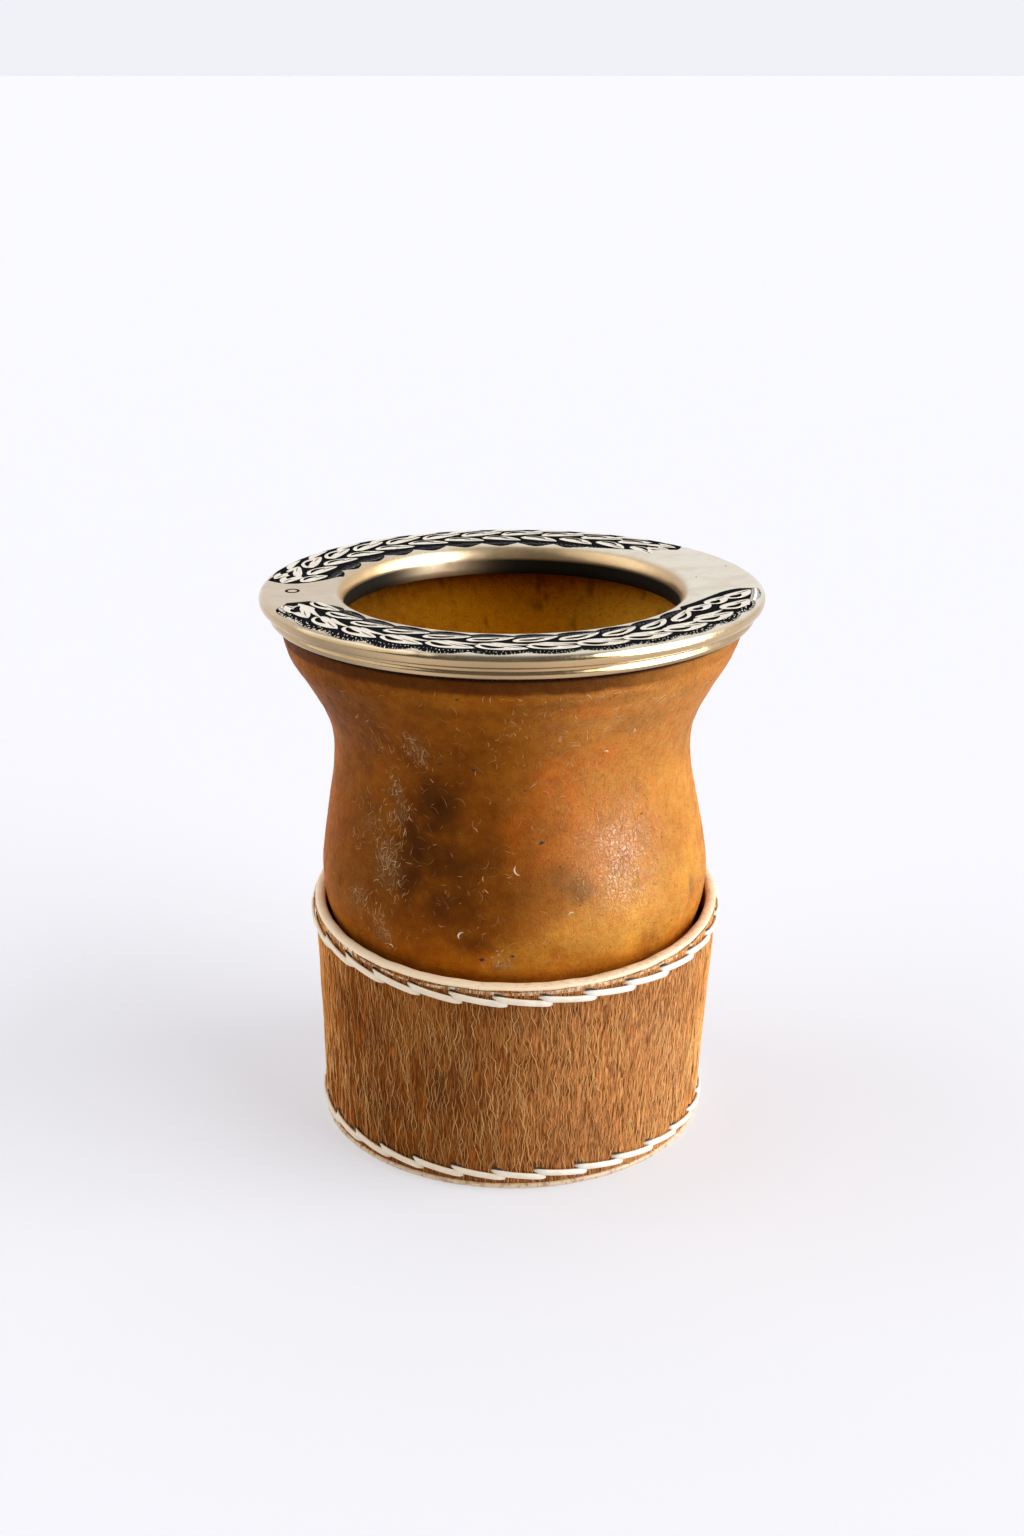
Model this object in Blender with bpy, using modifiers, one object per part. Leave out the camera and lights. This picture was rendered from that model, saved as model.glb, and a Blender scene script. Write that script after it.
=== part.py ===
"""Empty gourd drinking cup with a broad metal rim, standing in a laced hide sleeve.

Metres, +Z up. The origin is on the ground under the middle of the base, and
the front of the cup faces -Y. The gourd is a hollow turned shell whose flared
mouth stands up into the channel under the rim. The sleeve and its base disc
hold the rounded bottom of the gourd upright.
"""

import math

import bmesh
import bpy

MM = 0.001
CLEARANCE = 0.3 * MM

# Metal rim: a flat ring with a rolled outer edge, a collar and a skirt.
RIM_RADIUS = 47.5 * MM
ROLL_RADIUS = 1.4 * MM
ROLL_HEIGHT = 106.3 * MM
TOP_HEIGHT = 107.55 * MM
THROAT_RADIUS = 31.8 * MM
SHOULDER_RADIUS = 34.2 * MM
THROAT_EDGE = 104.6 * MM
COLLAR_BOTTOM = 101.8 * MM
COLLAR_WALL = 1.2 * MM
GROOVE_RADIUS = 45.5 * MM
GROOVE_BELOW_ROLL = 0.35 * MM
BEAD_RADIUS = 0.8 * MM
BEAD_MIDDLE = (45.0 * MM, 103.5 * MM)
SKIRT_INNER = 44.1 * MM
PLATE_UNDERSIDE = 105.5 * MM
RIM_STEPS = 72
# The top face's slight crown: (distance outwards from the shoulder, rise above the top).
TOP_CROWN = [(2.5 * MM, 0.15 * MM), (6.0 * MM, 0.2 * MM), (9.9 * MM, 0.075 * MM)]
# Arcs of the section: first angle, last angle, number of points.
ROLL_ARC = (60.0, -75.0, 8)
BEAD_ARC = (50.0, -90.0, 6)
SHOULDER_STEPS = 5

# Gourd: outer radius at each height, from the mouth down to the foot.
GOURD_OUTLINE = [
    (105.2 * MM, 43.7 * MM),
    (101.5 * MM, 43.6 * MM),
    (97.0 * MM, 42.5 * MM),
    (91.0 * MM, 39.05 * MM),
    (85.0 * MM, 35.9 * MM),
    (81.0 * MM, 34.65 * MM),
    (77.5 * MM, 34.35 * MM),
    (73.0 * MM, 34.6 * MM),
    (66.0 * MM, 35.75 * MM),
    (59.0 * MM, 36.95 * MM),
    (52.0 * MM, 37.75 * MM),
    (48.0 * MM, 37.45 * MM),
    (43.0 * MM, 36.3 * MM),
    (34.0 * MM, 33.9 * MM),
    (24.0 * MM, 30.3 * MM),
    (14.0 * MM, 24.6 * MM),
    (6.5 * MM, 17.0 * MM),
    (1.6 * MM, 7.5 * MM),
]
GOURD_WALL = 3.8 * MM
GOURD_MOUTH_WALL = 4.6 * MM
MOUTH_WALL_FROM = 80.0 * MM
MOUTH_WALL_TO = 100.0 * MM
GOURD_FLOOR = 6.0 * MM
FLOOR_EDGE_SHARE = 0.6
GOURD_ROWS = 29
GOURD_INNER_ROWS = 14
GOURD_STEPS = 54
# Powers above 1 set the rows closer together towards the rounded foot.
ROW_SPREAD = 1.25
INNER_ROW_SPREAD = 1.3
BELLY_SHIFT = 0.5 * MM
BELLY_HEIGHT = 52.0 * MM
NECK_SHIFT = -0.28 * MM
NECK_HEIGHT = 96.0 * MM
MOUTH_HEIGHT = 101.0 * MM

# Hide sleeve: widens a little upwards, and its top edge is higher at the back.
SLEEVE_BOTTOM = 1.6 * MM
SLEEVE_TOP = 46.3 * MM
SLEEVE_FOOT_RADIUS = 37.7 * MM
SLEEVE_FLARE = 2.0 * MM
SLEEVE_FLARE_POWER = 1.3
SLEEVE_WALL = 1.9 * MM
SLEEVE_LIP = 0.6 * MM
SLEEVE_SLOPE = 0.085
SLEEVE_SHIFT = 0.7 * MM
SLEEVE_SHIFT_HEIGHT = 42.0 * MM
SLEEVE_ROWS = 6
SLEEVE_STEPS = 56

BASE_RADIUS = 37.3 * MM
BASE_THICKNESS = 1.3 * MM
BASE_BEVEL = 0.3 * MM

# Lacing: two rows of slanted, overlapping rawhide stitches round the sleeve.
STITCH_COUNT = 30
STITCH_OVERLAP = 1.32
STITCH_WIDTH = 1.35 * MM
STITCH_THICKNESS = 0.8 * MM
STITCH_DROP = 1.3 * MM
STITCH_SEGMENTS = 3
TOP_ROW_INSET = 3.0 * MM
BOTTOM_ROW_HEIGHT = 3.3 * MM


def clear_scene():
    for old in list(bpy.data.objects):
        bpy.data.objects.remove(old, do_unlink=True)


def new_collection(name):
    collection = bpy.data.collections.new(name)
    bpy.context.scene.collection.children.link(collection)
    return collection


def principled(name, color, roughness, metallic=0.0):
    material = bpy.data.materials.new(name)
    material.use_nodes = True
    shader = material.node_tree.nodes["Principled BSDF"]
    shader.inputs["Base Color"].default_value = (*color, 1.0)
    shader.inputs["Roughness"].default_value = roughness
    shader.inputs["Metallic"].default_value = metallic
    return material


def smoothstep(t):
    t = min(max(t, 0.0), 1.0)
    return t * t * (3.0 - 2.0 * t)


def arc(center, radius, start_deg, end_deg, count):
    """Points of a circular arc in the (radius, height) plane."""
    points = []
    for i in range(count):
        angle = math.radians(start_deg + (end_deg - start_deg) * i / (count - 1))
        points.append((center[0] + radius * math.cos(angle), center[1] + radius * math.sin(angle)))
    return points


def turned(name, profile, steps, collection, material):
    """Turn a closed (radius, height) profile about Z and return it as a mesh object."""
    mesh = bpy.data.meshes.new(name + "_profile")
    count = len(profile)
    closed = min(radius for radius, _ in profile) > 0.0
    edges = [(i, i + 1) for i in range(count - 1)]
    if closed:
        edges.append((count - 1, 0))
    mesh.from_pydata([(radius, 0.0, height) for radius, height in profile], edges, [])
    guide = bpy.data.objects.new(name + "_profile", mesh)
    collection.objects.link(guide)
    screw = guide.modifiers.new("turn", "SCREW")
    screw.axis = "Z"
    screw.angle = 2.0 * math.pi
    screw.steps = steps
    screw.render_steps = steps
    screw.use_merge_vertices = True
    screw.merge_threshold = 0.00001
    bpy.context.view_layer.update()
    evaluated = guide.evaluated_get(bpy.context.evaluated_depsgraph_get())
    solid_mesh = bpy.data.meshes.new_from_object(evaluated)
    bpy.data.objects.remove(guide, do_unlink=True)
    bpy.data.meshes.remove(mesh)
    solid_mesh.name = name
    solid = bpy.data.objects.new(name, solid_mesh)
    collection.objects.link(solid)
    solid_mesh.materials.clear()
    solid_mesh.materials.append(material)
    solid_mesh.shade_smooth()
    solid_mesh.set_sharp_from_angle(angle=math.radians(40.0))
    return solid


def chord(points, i):
    """Slope of the straight line from point i to the next (height, radius) point."""
    return (points[i][1] - points[i + 1][1]) / (points[i][0] - points[i + 1][0])


def curve_slope(points, i):
    """Slope of the smooth curve at point i: level at a crest, else between its two chords."""
    above = chord(points, max(i - 1, 0))
    below = chord(points, min(i, len(points) - 2))
    if above * below <= 0.0:
        return 0.0
    return 2.0 * above * below / (above + below)


def curve_radius(points, height):
    """Radius at a height on a smooth curve through (height, radius) points listed downwards."""
    i = 0
    while i < len(points) - 2 and height < points[i + 1][0]:
        i += 1
    high, high_radius = points[i]
    low, low_radius = points[i + 1]
    span = high - low
    t = (height - low) / span
    return (
        (2 * t**3 - 3 * t**2 + 1) * low_radius
        + (t**3 - 2 * t**2 + t) * span * curve_slope(points, i + 1)
        + (-2 * t**3 + 3 * t**2) * high_radius
        + (t**3 - t**2) * span * curve_slope(points, i)
    )


def gourd_wall(height):
    share = smoothstep((height - MOUTH_WALL_FROM) / (MOUTH_WALL_TO - MOUTH_WALL_FROM))
    return GOURD_WALL + (GOURD_MOUTH_WALL - GOURD_WALL) * share


def gourd_shift(height):
    """Sideways lean of the gourd, which is not quite round about one axis."""
    if height <= BELLY_HEIGHT:
        return BELLY_SHIFT
    if height <= NECK_HEIGHT:
        t = (height - BELLY_HEIGHT) / (NECK_HEIGHT - BELLY_HEIGHT)
        return BELLY_SHIFT + (NECK_SHIFT - BELLY_SHIFT) * t
    return NECK_SHIFT * (1.0 - smoothstep((height - NECK_HEIGHT) / (MOUTH_HEIGHT - NECK_HEIGHT)))


def make_gourd(collection):
    top = GOURD_OUTLINE[0][0]
    bottom = GOURD_OUTLINE[-1][0]
    outer = [(0.0, bottom)]
    for i in range(GOURD_ROWS):
        t = i / (GOURD_ROWS - 1)
        height = bottom + (top - bottom) * t**ROW_SPREAD
        outer.append((curve_radius(GOURD_OUTLINE, height), height))
    outer.reverse()
    inner = []
    for i in range(GOURD_INNER_ROWS):
        t = i / (GOURD_INNER_ROWS - 1)
        height = GOURD_FLOOR + (top - GOURD_FLOOR) * t**INNER_ROW_SPREAD
        inner.append((curve_radius(GOURD_OUTLINE, height) - gourd_wall(height), height))
    inner[0] = (inner[0][0] * FLOOR_EDGE_SHARE, GOURD_FLOOR)
    profile = [(0.0, GOURD_FLOOR)] + inner + outer
    material = principled("gourd", (0.42, 0.17, 0.045), 0.38)
    gourd = turned("gourd", profile, GOURD_STEPS, collection, material)
    for vertex in gourd.data.vertices:
        vertex.co.x += gourd_shift(vertex.co.z)
    return gourd


def rim_profile():
    """Section of the rim, down its outer side and back up through the channel and throat."""
    top = [(SHOULDER_RADIUS + outwards, TOP_HEIGHT + rise) for outwards, rise in TOP_CROWN]
    roll = arc((RIM_RADIUS - ROLL_RADIUS, ROLL_HEIGHT), ROLL_RADIUS, *ROLL_ARC)
    groove = [(GROOVE_RADIUS, ROLL_HEIGHT - ROLL_RADIUS - GROOVE_BELOW_ROLL)]
    bead = arc(BEAD_MIDDLE, BEAD_RADIUS, *BEAD_ARC)
    shoulder = []
    for i in range(SHOULDER_STEPS + 1):
        angle = math.radians(90.0 * i / SHOULDER_STEPS)
        radius = SHOULDER_RADIUS - (SHOULDER_RADIUS - THROAT_RADIUS) * math.cos(angle)
        shoulder.append((radius, THROAT_EDGE + (TOP_HEIGHT - THROAT_EDGE) * math.sin(angle)))
    skirt_and_channel = [
        (SKIRT_INNER, BEAD_MIDDLE[1] - BEAD_RADIUS),
        (SKIRT_INNER, PLATE_UNDERSIDE),
        (THROAT_RADIUS + COLLAR_WALL, PLATE_UNDERSIDE),
        (THROAT_RADIUS + COLLAR_WALL, COLLAR_BOTTOM),
        (THROAT_RADIUS, COLLAR_BOTTOM),
    ]
    return top + roll + groove + bead + skirt_and_channel + shoulder


def make_rim(collection):
    material = principled("rim_metal", (0.72, 0.66, 0.52), 0.22, metallic=1.0)
    return turned("rim", rim_profile(), RIM_STEPS, collection, material)


def sleeve_radius(height):
    return SLEEVE_FOOT_RADIUS + SLEEVE_FLARE * (height / SLEEVE_TOP) ** SLEEVE_FLARE_POWER


def sleeve_shift(height):
    return SLEEVE_SHIFT * smoothstep(height / SLEEVE_SHIFT_HEIGHT)


def sleeve_height(level, y):
    """Height of a level line of the sleeve: the lines tilt more and more towards the top edge."""
    return level + SLEEVE_SLOPE * y * (level - SLEEVE_BOTTOM) / (SLEEVE_TOP - SLEEVE_BOTTOM)


def make_hide_sleeve(collection):
    outer = []
    side_top = SLEEVE_TOP - SLEEVE_LIP
    for i in range(SLEEVE_ROWS):
        level = side_top + (SLEEVE_BOTTOM - side_top) * i / (SLEEVE_ROWS - 1)
        outer.append((sleeve_radius(level), level))
    inner = [(radius - SLEEVE_WALL, level) for radius, level in reversed(outer)]
    lip = [
        (sleeve_radius(SLEEVE_TOP) - SLEEVE_WALL + SLEEVE_LIP, SLEEVE_TOP),
        (sleeve_radius(SLEEVE_TOP) - SLEEVE_LIP, SLEEVE_TOP),
    ]
    material = principled("hide", (0.34, 0.2, 0.1), 0.85)
    sleeve = turned("hide_sleeve", outer + inner + lip, SLEEVE_STEPS, collection, material)
    for vertex in sleeve.data.vertices:
        level = vertex.co.z
        vertex.co.z = sleeve_height(level, vertex.co.y)
        vertex.co.x += sleeve_shift(level)
    return sleeve


def make_base_disc(collection):
    profile = [
        (0.0, BASE_THICKNESS),
        (BASE_RADIUS - BASE_BEVEL, BASE_THICKNESS),
        (BASE_RADIUS, BASE_THICKNESS - BASE_BEVEL),
        (BASE_RADIUS, BASE_BEVEL),
        (BASE_RADIUS - BASE_BEVEL, 0.0),
        (0.0, 0.0),
    ]
    material = principled("base_hide", (0.6, 0.43, 0.26), 0.8)
    return turned("base_disc", profile, SLEEVE_STEPS, collection, material)


def make_stitch(index, row_level, work):
    """One flat strip that hugs the sleeve and slants down from its start to its end."""
    pitch = 2.0 * math.pi / STITCH_COUNT
    mesh = bpy.data.meshes.new("stitch")
    shape = bmesh.new()
    bmesh.ops.create_cube(shape, size=1.0)
    long_edges = [e for e in shape.edges if abs(e.verts[0].co.x - e.verts[1].co.x) > 0.5]
    bmesh.ops.subdivide_edges(shape, edges=long_edges, cuts=STITCH_SEGMENTS - 1, use_grid_fill=True)
    for vertex in shape.verts:
        along = vertex.co.x + 0.5
        azimuth = (index + along * STITCH_OVERLAP) * pitch
        level = row_level + STITCH_DROP * (0.5 - along) + STITCH_WIDTH * vertex.co.z
        sunk = sleeve_radius(level) + CLEARANCE + STITCH_THICKNESS * (0.5 + vertex.co.y)
        y = sunk * math.sin(azimuth)
        x = sunk * math.cos(azimuth) + sleeve_shift(level)
        vertex.co = (x, y, sleeve_height(level, y))
    bmesh.ops.recalc_face_normals(shape, faces=shape.faces)
    shape.to_mesh(mesh)
    shape.free()
    stitch = bpy.data.objects.new("stitch", mesh)
    work.objects.link(stitch)
    return stitch


def make_lace(name, row_level, collection, material):
    """A row of stitches fused into one ring by a single union."""
    work = new_collection(name + "_stitches")
    stitches = [make_stitch(i, row_level, work) for i in range(STITCH_COUNT)]
    first = stitches[0]
    work.objects.unlink(first)
    collection.objects.link(first)
    first.name = name
    union = first.modifiers.new("fuse", "BOOLEAN")
    union.operation = "UNION"
    union.operand_type = "COLLECTION"
    union.collection = work
    union.solver = "EXACT"
    bpy.context.view_layer.update()
    evaluated = first.evaluated_get(bpy.context.evaluated_depsgraph_get())
    fused = bpy.data.meshes.new_from_object(evaluated)
    for stitch in stitches[1:]:
        bpy.data.objects.remove(stitch, do_unlink=True)
    bpy.data.objects.remove(first, do_unlink=True)
    bpy.data.collections.remove(work)
    fused.name = name
    fused.materials.clear()
    fused.materials.append(material)
    lace = bpy.data.objects.new(name, fused)
    collection.objects.link(lace)
    return lace


def main():
    clear_scene()
    cup = new_collection("gourd_cup")
    make_gourd(cup)
    make_rim(cup)
    make_hide_sleeve(cup)
    make_base_disc(cup)
    rawhide = principled("rawhide_lace", (0.78, 0.7, 0.58), 0.55)
    make_lace("lace_top", SLEEVE_TOP - TOP_ROW_INSET, cup, rawhide)
    make_lace("lace_bottom", BOTTOM_ROW_HEIGHT, cup, rawhide)


main()
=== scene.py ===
import math

import bpy
import numpy as np
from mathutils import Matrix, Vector


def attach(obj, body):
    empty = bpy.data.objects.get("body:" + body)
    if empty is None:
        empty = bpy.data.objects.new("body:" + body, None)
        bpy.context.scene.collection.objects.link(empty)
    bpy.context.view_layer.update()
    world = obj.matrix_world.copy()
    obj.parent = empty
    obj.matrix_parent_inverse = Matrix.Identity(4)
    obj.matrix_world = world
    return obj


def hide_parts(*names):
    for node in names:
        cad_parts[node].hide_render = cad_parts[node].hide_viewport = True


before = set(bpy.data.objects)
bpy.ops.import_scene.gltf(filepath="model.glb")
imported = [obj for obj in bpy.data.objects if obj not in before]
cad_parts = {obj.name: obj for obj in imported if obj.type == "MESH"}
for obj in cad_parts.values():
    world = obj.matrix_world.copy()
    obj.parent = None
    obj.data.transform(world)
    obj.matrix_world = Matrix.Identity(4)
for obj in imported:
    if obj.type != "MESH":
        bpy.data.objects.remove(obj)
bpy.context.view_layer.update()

MM = 0.001
TAU = 2.0 * math.pi

# Metal rim section, as built in the solid.
RIM_RADIUS = 47.5
ROLL_RADIUS = 1.4
ROLL_HEIGHT = 106.3
ROLL_CENTER = RIM_RADIUS - ROLL_RADIUS
TOP_HEIGHT = 107.55
TOP_CROWN = 0.15
THROAT_RADIUS = 31.8
SHOULDER_RADIUS = 34.2
THROAT_EDGE = 104.6
COLLAR_BOTTOM = 101.8
COLLAR_WALL = 1.2
GROOVE = (45.5, 104.55)
BEAD_CENTER = (45.0, 103.5)
BEAD_RADIUS = 0.8
SKIRT_INNER = 44.1
PLATE_UNDERSIDE = 105.5

# Gourd: (height, outer radius) down the wall, with the side lean of the belly and neck.
GOURD_OUTLINE = [
    (105.2, 43.7), (101.5, 43.6), (97, 42.5), (91, 39.05), (85, 35.9), (81, 34.65), (77.5, 34.35),
    (73, 34.6), (66, 35.75), (59, 36.95), (52, 37.75), (48, 37.45), (43, 36.3), (34, 33.9),
    (24, 30.3), (14, 24.6), (6.5, 17), (1.6, 7.5),
]
GOURD_WALL = 3.8
GOURD_MOUTH_WALL = 4.6
GOURD_FLOOR = 6.0
BELLY_SHIFT = 0.5
BELLY_HEIGHT = 52.0
NECK_SHIFT = -0.28
NECK_HEIGHT = 96.0
MOUTH_HEIGHT = 101.0

# Hide sleeve and its base.
SLEEVE_BOTTOM = 1.6
SLEEVE_TOP = 46.3
SLEEVE_FOOT_RADIUS = 37.7
SLEEVE_FLARE = 2.0
SLEEVE_FLARE_POWER = 1.3
SLEEVE_WALL = 1.9
SLEEVE_SLOPE = 0.085
SLEEVE_SHIFT = 0.7
SLEEVE_SHIFT_HEIGHT = 42.0
BASE_RADIUS = 38.15
BASE_THICKNESS = 1.2

# Lacing.
STITCH_COUNT = 30
STITCH_OVERLAP = 1.32
STITCH_WIDTH = 1.3
STITCH_THICKNESS = 0.65
STITCH_DROP = 1.3
STITCH_LIFT = 0.25
TOP_ROW_INSET = 3.0
BOTTOM_ROW_HEIGHT = 3.3


def smoothstep(t):
    t = np.clip(t, 0.0, 1.0)
    return t * t * (3.0 - 2.0 * t)


def ramp(value, low, high):
    return smoothstep((value - low) / (high - low))


def lattice(cells, seed):
    """A repeatable number from 0 to 1 for each whole-number cell."""
    mixed = cells[..., 0] * 374761393 + cells[..., 1] * 668265263
    mixed = mixed + cells[..., 2] * 982451653 + seed * 1274126177
    mixed = (mixed ^ (mixed >> 13)) * 1274126177
    mixed = mixed ^ (mixed >> 16)
    return (mixed & 0xFFFFFF) / float(0xFFFFFF)


def cloud(points, size, octaves=3, seed=0):
    """Smooth noise from -1 to 1 at an array of points, with features of the given size."""
    total = np.zeros(points.shape[:-1])
    weight = 1.0
    weights = 0.0
    for octave in range(octaves):
        scaled = points / np.asarray(size) * 2.0**octave + 17.3 * octave
        base = np.floor(scaled).astype(np.int64)
        part = scaled - base
        part = part * part * (3.0 - 2.0 * part)
        value = np.zeros(points.shape[:-1])
        for corner in np.ndindex(2, 2, 2):
            share = np.ones(points.shape[:-1])
            for axis in range(3):
                share = share * (part[..., axis] if corner[axis] else 1.0 - part[..., axis])
            value = value + share * lattice(base + np.array(corner), seed + 31 * octave)
        total = total + value * weight
        weights += weight
        weight *= 0.5
    return total / weights * 2.0 - 1.0


def toward(azimuth, middle):
    """1 at an azimuth in degrees, -1 opposite it."""
    return np.cos(np.radians(azimuth - middle))


def near(azimuth, middle, spread):
    """1 at an azimuth, falling off smoothly to both sides."""
    return np.exp(-(((azimuth - middle) / spread) ** 2))


def cylinder_points(azimuth, radius, height):
    """Millimetre points from azimuth in degrees, radius and height."""
    angle = np.radians(azimuth)
    return np.stack([radius * np.cos(angle), radius * np.sin(angle), height + 0.0 * angle], -1)


def arc(center, radii, start, end, count):
    """Points of part of an ellipse, from a start to an end angle in degrees."""
    angle = np.radians(np.linspace(start, end, count))
    return np.stack([center[0] + radii[0] * np.cos(angle), center[1] + radii[1] * np.sin(angle)], 1)


def new_object(name, data):
    thing = bpy.data.objects.new(name, data)
    bpy.context.scene.collection.objects.link(thing)
    return thing


class Piece:
    """Collects the vertices, faces and per-vertex values of one piece, in millimetres."""

    def __init__(self, name):
        self.name = name
        self.vertices = []
        self.faces = []
        self.values = {}
        self.count = 0

    def add(self, vertices, faces, **values):
        self.vertices.append(vertices.reshape(-1, 3))
        self.faces.append(faces + self.count)
        self.count += len(self.vertices[-1])
        for key, value in values.items():
            self.values.setdefault(key, []).append(value)

    def grid(self, points, wrap_rows=False, wrap_columns=False, caps=0, **values):
        """A sheet of quads over points[row, column]. Caps of 1 or -1 close a tube's ends."""
        rows, columns = points.shape[:2]
        index = np.arange(rows * columns).reshape(rows, columns)
        ends = np.array([index[0], index[-1][::-1]]) + self.count
        if wrap_rows:
            index = np.vstack([index, index[:1]])
        if wrap_columns:
            index = np.hstack([index, index[:, :1]])
        quads = np.stack([index[:-1, :-1], index[1:, :-1], index[1:, 1:], index[:-1, 1:]], -1)
        for key, value in values.items():
            values[key] = value.reshape(rows * columns, *value.shape[2:])
        self.add(points, quads.reshape(-1, 4), **values)
        if caps:
            self.faces.append(ends[:, ::caps])

    def build(self, material, slot, *nodes):
        mesh = bpy.data.meshes.new(self.name)
        vertices = np.concatenate(self.vertices) * MM
        faces = [face for group in self.faces for face in group.tolist()]
        mesh.from_pydata(vertices.tolist(), [], faces)
        for key, parts in self.values.items():
            data = np.concatenate(parts)
            if data.ndim == 1:
                layer = mesh.attributes.new(key, "FLOAT", "POINT")
                layer.data.foreach_set("value", data.astype(np.float32))
            else:
                layer = mesh.attributes.new(key, "FLOAT_COLOR", "POINT")
                full = np.hstack([data, np.ones((len(data), 1))])
                layer.data.foreach_set("color", full.astype(np.float32).ravel())
        mesh.shade_smooth()
        mesh.materials.append(material)
        piece = new_object(self.name, mesh)
        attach(piece, "root")
        if nodes:
            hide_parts(*nodes)


def unit(vectors):
    return vectors / np.maximum(np.linalg.norm(vectors, axis=-1, keepdims=True), 1e-9)


def strokes(piece, place, first, second, lift, width, height, **values):
    """Many fine closed strips laid on a surface.

    place(first, second, lift) gives surface points. Each row of first and second is
    the path of one strip, width is its half width and height its ridge, in mm.
    """
    first = np.atleast_2d(first)
    second, lift, width, height = (
        np.broadcast_to(part, first.shape) for part in (second, lift, width, height)
    )
    middle = place(first, second, lift)
    normal = unit(place(first, second, lift + 0.1) - middle)
    along = unit(np.gradient(middle, axis=1))
    side = unit(np.cross(normal, along)) * width[..., None]
    rise = normal * height[..., None]
    corners = np.stack([middle + side, middle - side, middle + rise], 2)
    count, stations = first.shape
    index = np.arange(count * stations * 3).reshape(count, stations, 3)
    ring = np.concatenate([index, index[:, :, :1]], 2)
    quads = np.stack([ring[:, :-1, :-1], ring[:, :-1, 1:], ring[:, 1:, 1:], ring[:, 1:, :-1]], -1)
    start = piece.count
    spread = {key: np.repeat(np.atleast_2d(value), stations * 3, 0) for key, value in values.items()}
    piece.add(corners, quads.reshape(-1, 4), **spread)
    ends = np.concatenate([index[:, 0, ::-1], index[:, -1]])
    piece.faces.append(ends + start)


class Nodes:
    """Short calls for a tree of shader nodes."""

    def __init__(self, tree, coordinates):
        self.tree = tree
        self.position = self.node("TexCoord", {}).outputs[coordinates]

    def put(self, socket, value):
        if isinstance(value, bpy.types.NodeSocket):
            self.tree.links.new(value, socket)
        elif socket.type == "RGBA":
            socket.default_value = (*value, 1.0)
        else:
            socket.default_value = value

    def node(self, kind, inputs, **settings):
        node = self.tree.nodes.new("ShaderNode" + kind)
        for name, value in settings.items():
            setattr(node, name, value)
        for name, value in inputs.items():
            self.put(node.inputs[name], value)
        return node

    def attribute(self, name, output="Fac"):
        return self.node("Attribute", {}, attribute_name=name).outputs[output]

    def stretch(self, *scale):
        """Coordinates, in millimetres, scaled along each axis."""
        scale = tuple(1000.0 * part for part in scale)
        return self.node("Mapping", {"Vector": self.position, "Scale": scale}).outputs["Vector"]

    def noise(self, scale, detail=4.0, roughness=0.55, distortion=0.0, vector=None):
        inputs = {"Scale": scale, "Detail": detail, "Roughness": roughness, "Distortion": distortion}
        inputs["Vector"] = vector or self.stretch(1.0, 1.0, 1.0)
        return self.node("TexNoise", inputs).outputs["Fac"]

    def cracks(self, scale, vector):
        """Distance to the edges between irregular cells."""
        inputs = {"Vector": vector, "Scale": scale}
        return self.node("TexVoronoi", inputs, feature="DISTANCE_TO_EDGE").outputs["Distance"]

    def math(self, operation, first, second):
        return self.node("Math", {0: first, 1: second}, operation=operation).outputs[0]

    def plus(self, first, second):
        return self.math("ADD", first, second)

    def minus(self, first, second):
        return self.math("SUBTRACT", first, second)

    def times(self, first, second):
        return self.math("MULTIPLY", first, second)

    def most(self, first, second):
        return self.math("MAXIMUM", first, second)

    def band(self, value, low, high, start=0.0, end=1.0):
        """Maps low..high to start..end, smoothly and clamped."""
        inputs = {"Value": value, "From Min": low, "From Max": high, "To Min": start, "To Max": end}
        return self.node("MapRange", inputs, interpolation_type="SMOOTHSTEP").outputs["Result"]

    def mix(self, share, first, second, blend="MIX"):
        inputs = {0: share, 6: first, 7: second}
        return self.node("Mix", inputs, data_type="RGBA", blend_type=blend).outputs[2]

    def bump(self, height, distance):
        return self.node("Bump", {"Height": height, "Distance": distance * MM}).outputs["Normal"]


class Shader(Nodes):
    """A Principled material."""

    def __init__(self, name, roughness, metallic=0.0, color=(0.8, 0.8, 0.8)):
        self.material = bpy.data.materials.new(name)
        self.material.use_nodes = True
        super().__init__(self.material.node_tree, "Object")
        self.set("Roughness", roughness)
        self.set("Metallic", metallic)
        self.set("Base Color", color)

    def set(self, socket, value):
        self.put(self.tree.nodes["Principled BSDF"].inputs[socket], value)


# Camera, fitted to the outlines of the rim, sleeve and base.
CAMERA_DISTANCE = 358.4
CAMERA_HEIGHT = 199.2
CAMERA_PITCH = 19.70
CAMERA_FOCAL_SHARE = 1952.9 / 1536.0
SENSOR = 36.0


def make_camera():
    camera = bpy.data.cameras.new("camera")
    camera.sensor_fit = "AUTO"
    camera.sensor_width = SENSOR
    camera.lens = SENSOR * CAMERA_FOCAL_SHARE
    camera.clip_start = 0.01
    camera.clip_end = 100.0
    holder = new_object("camera", camera)
    holder.location = (0.0, -CAMERA_DISTANCE * MM, CAMERA_HEIGHT * MM)
    holder.rotation_euler = (math.radians(90.0 - CAMERA_PITCH), 0.0, 0.0)
    bpy.context.scene.camera = holder


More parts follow.
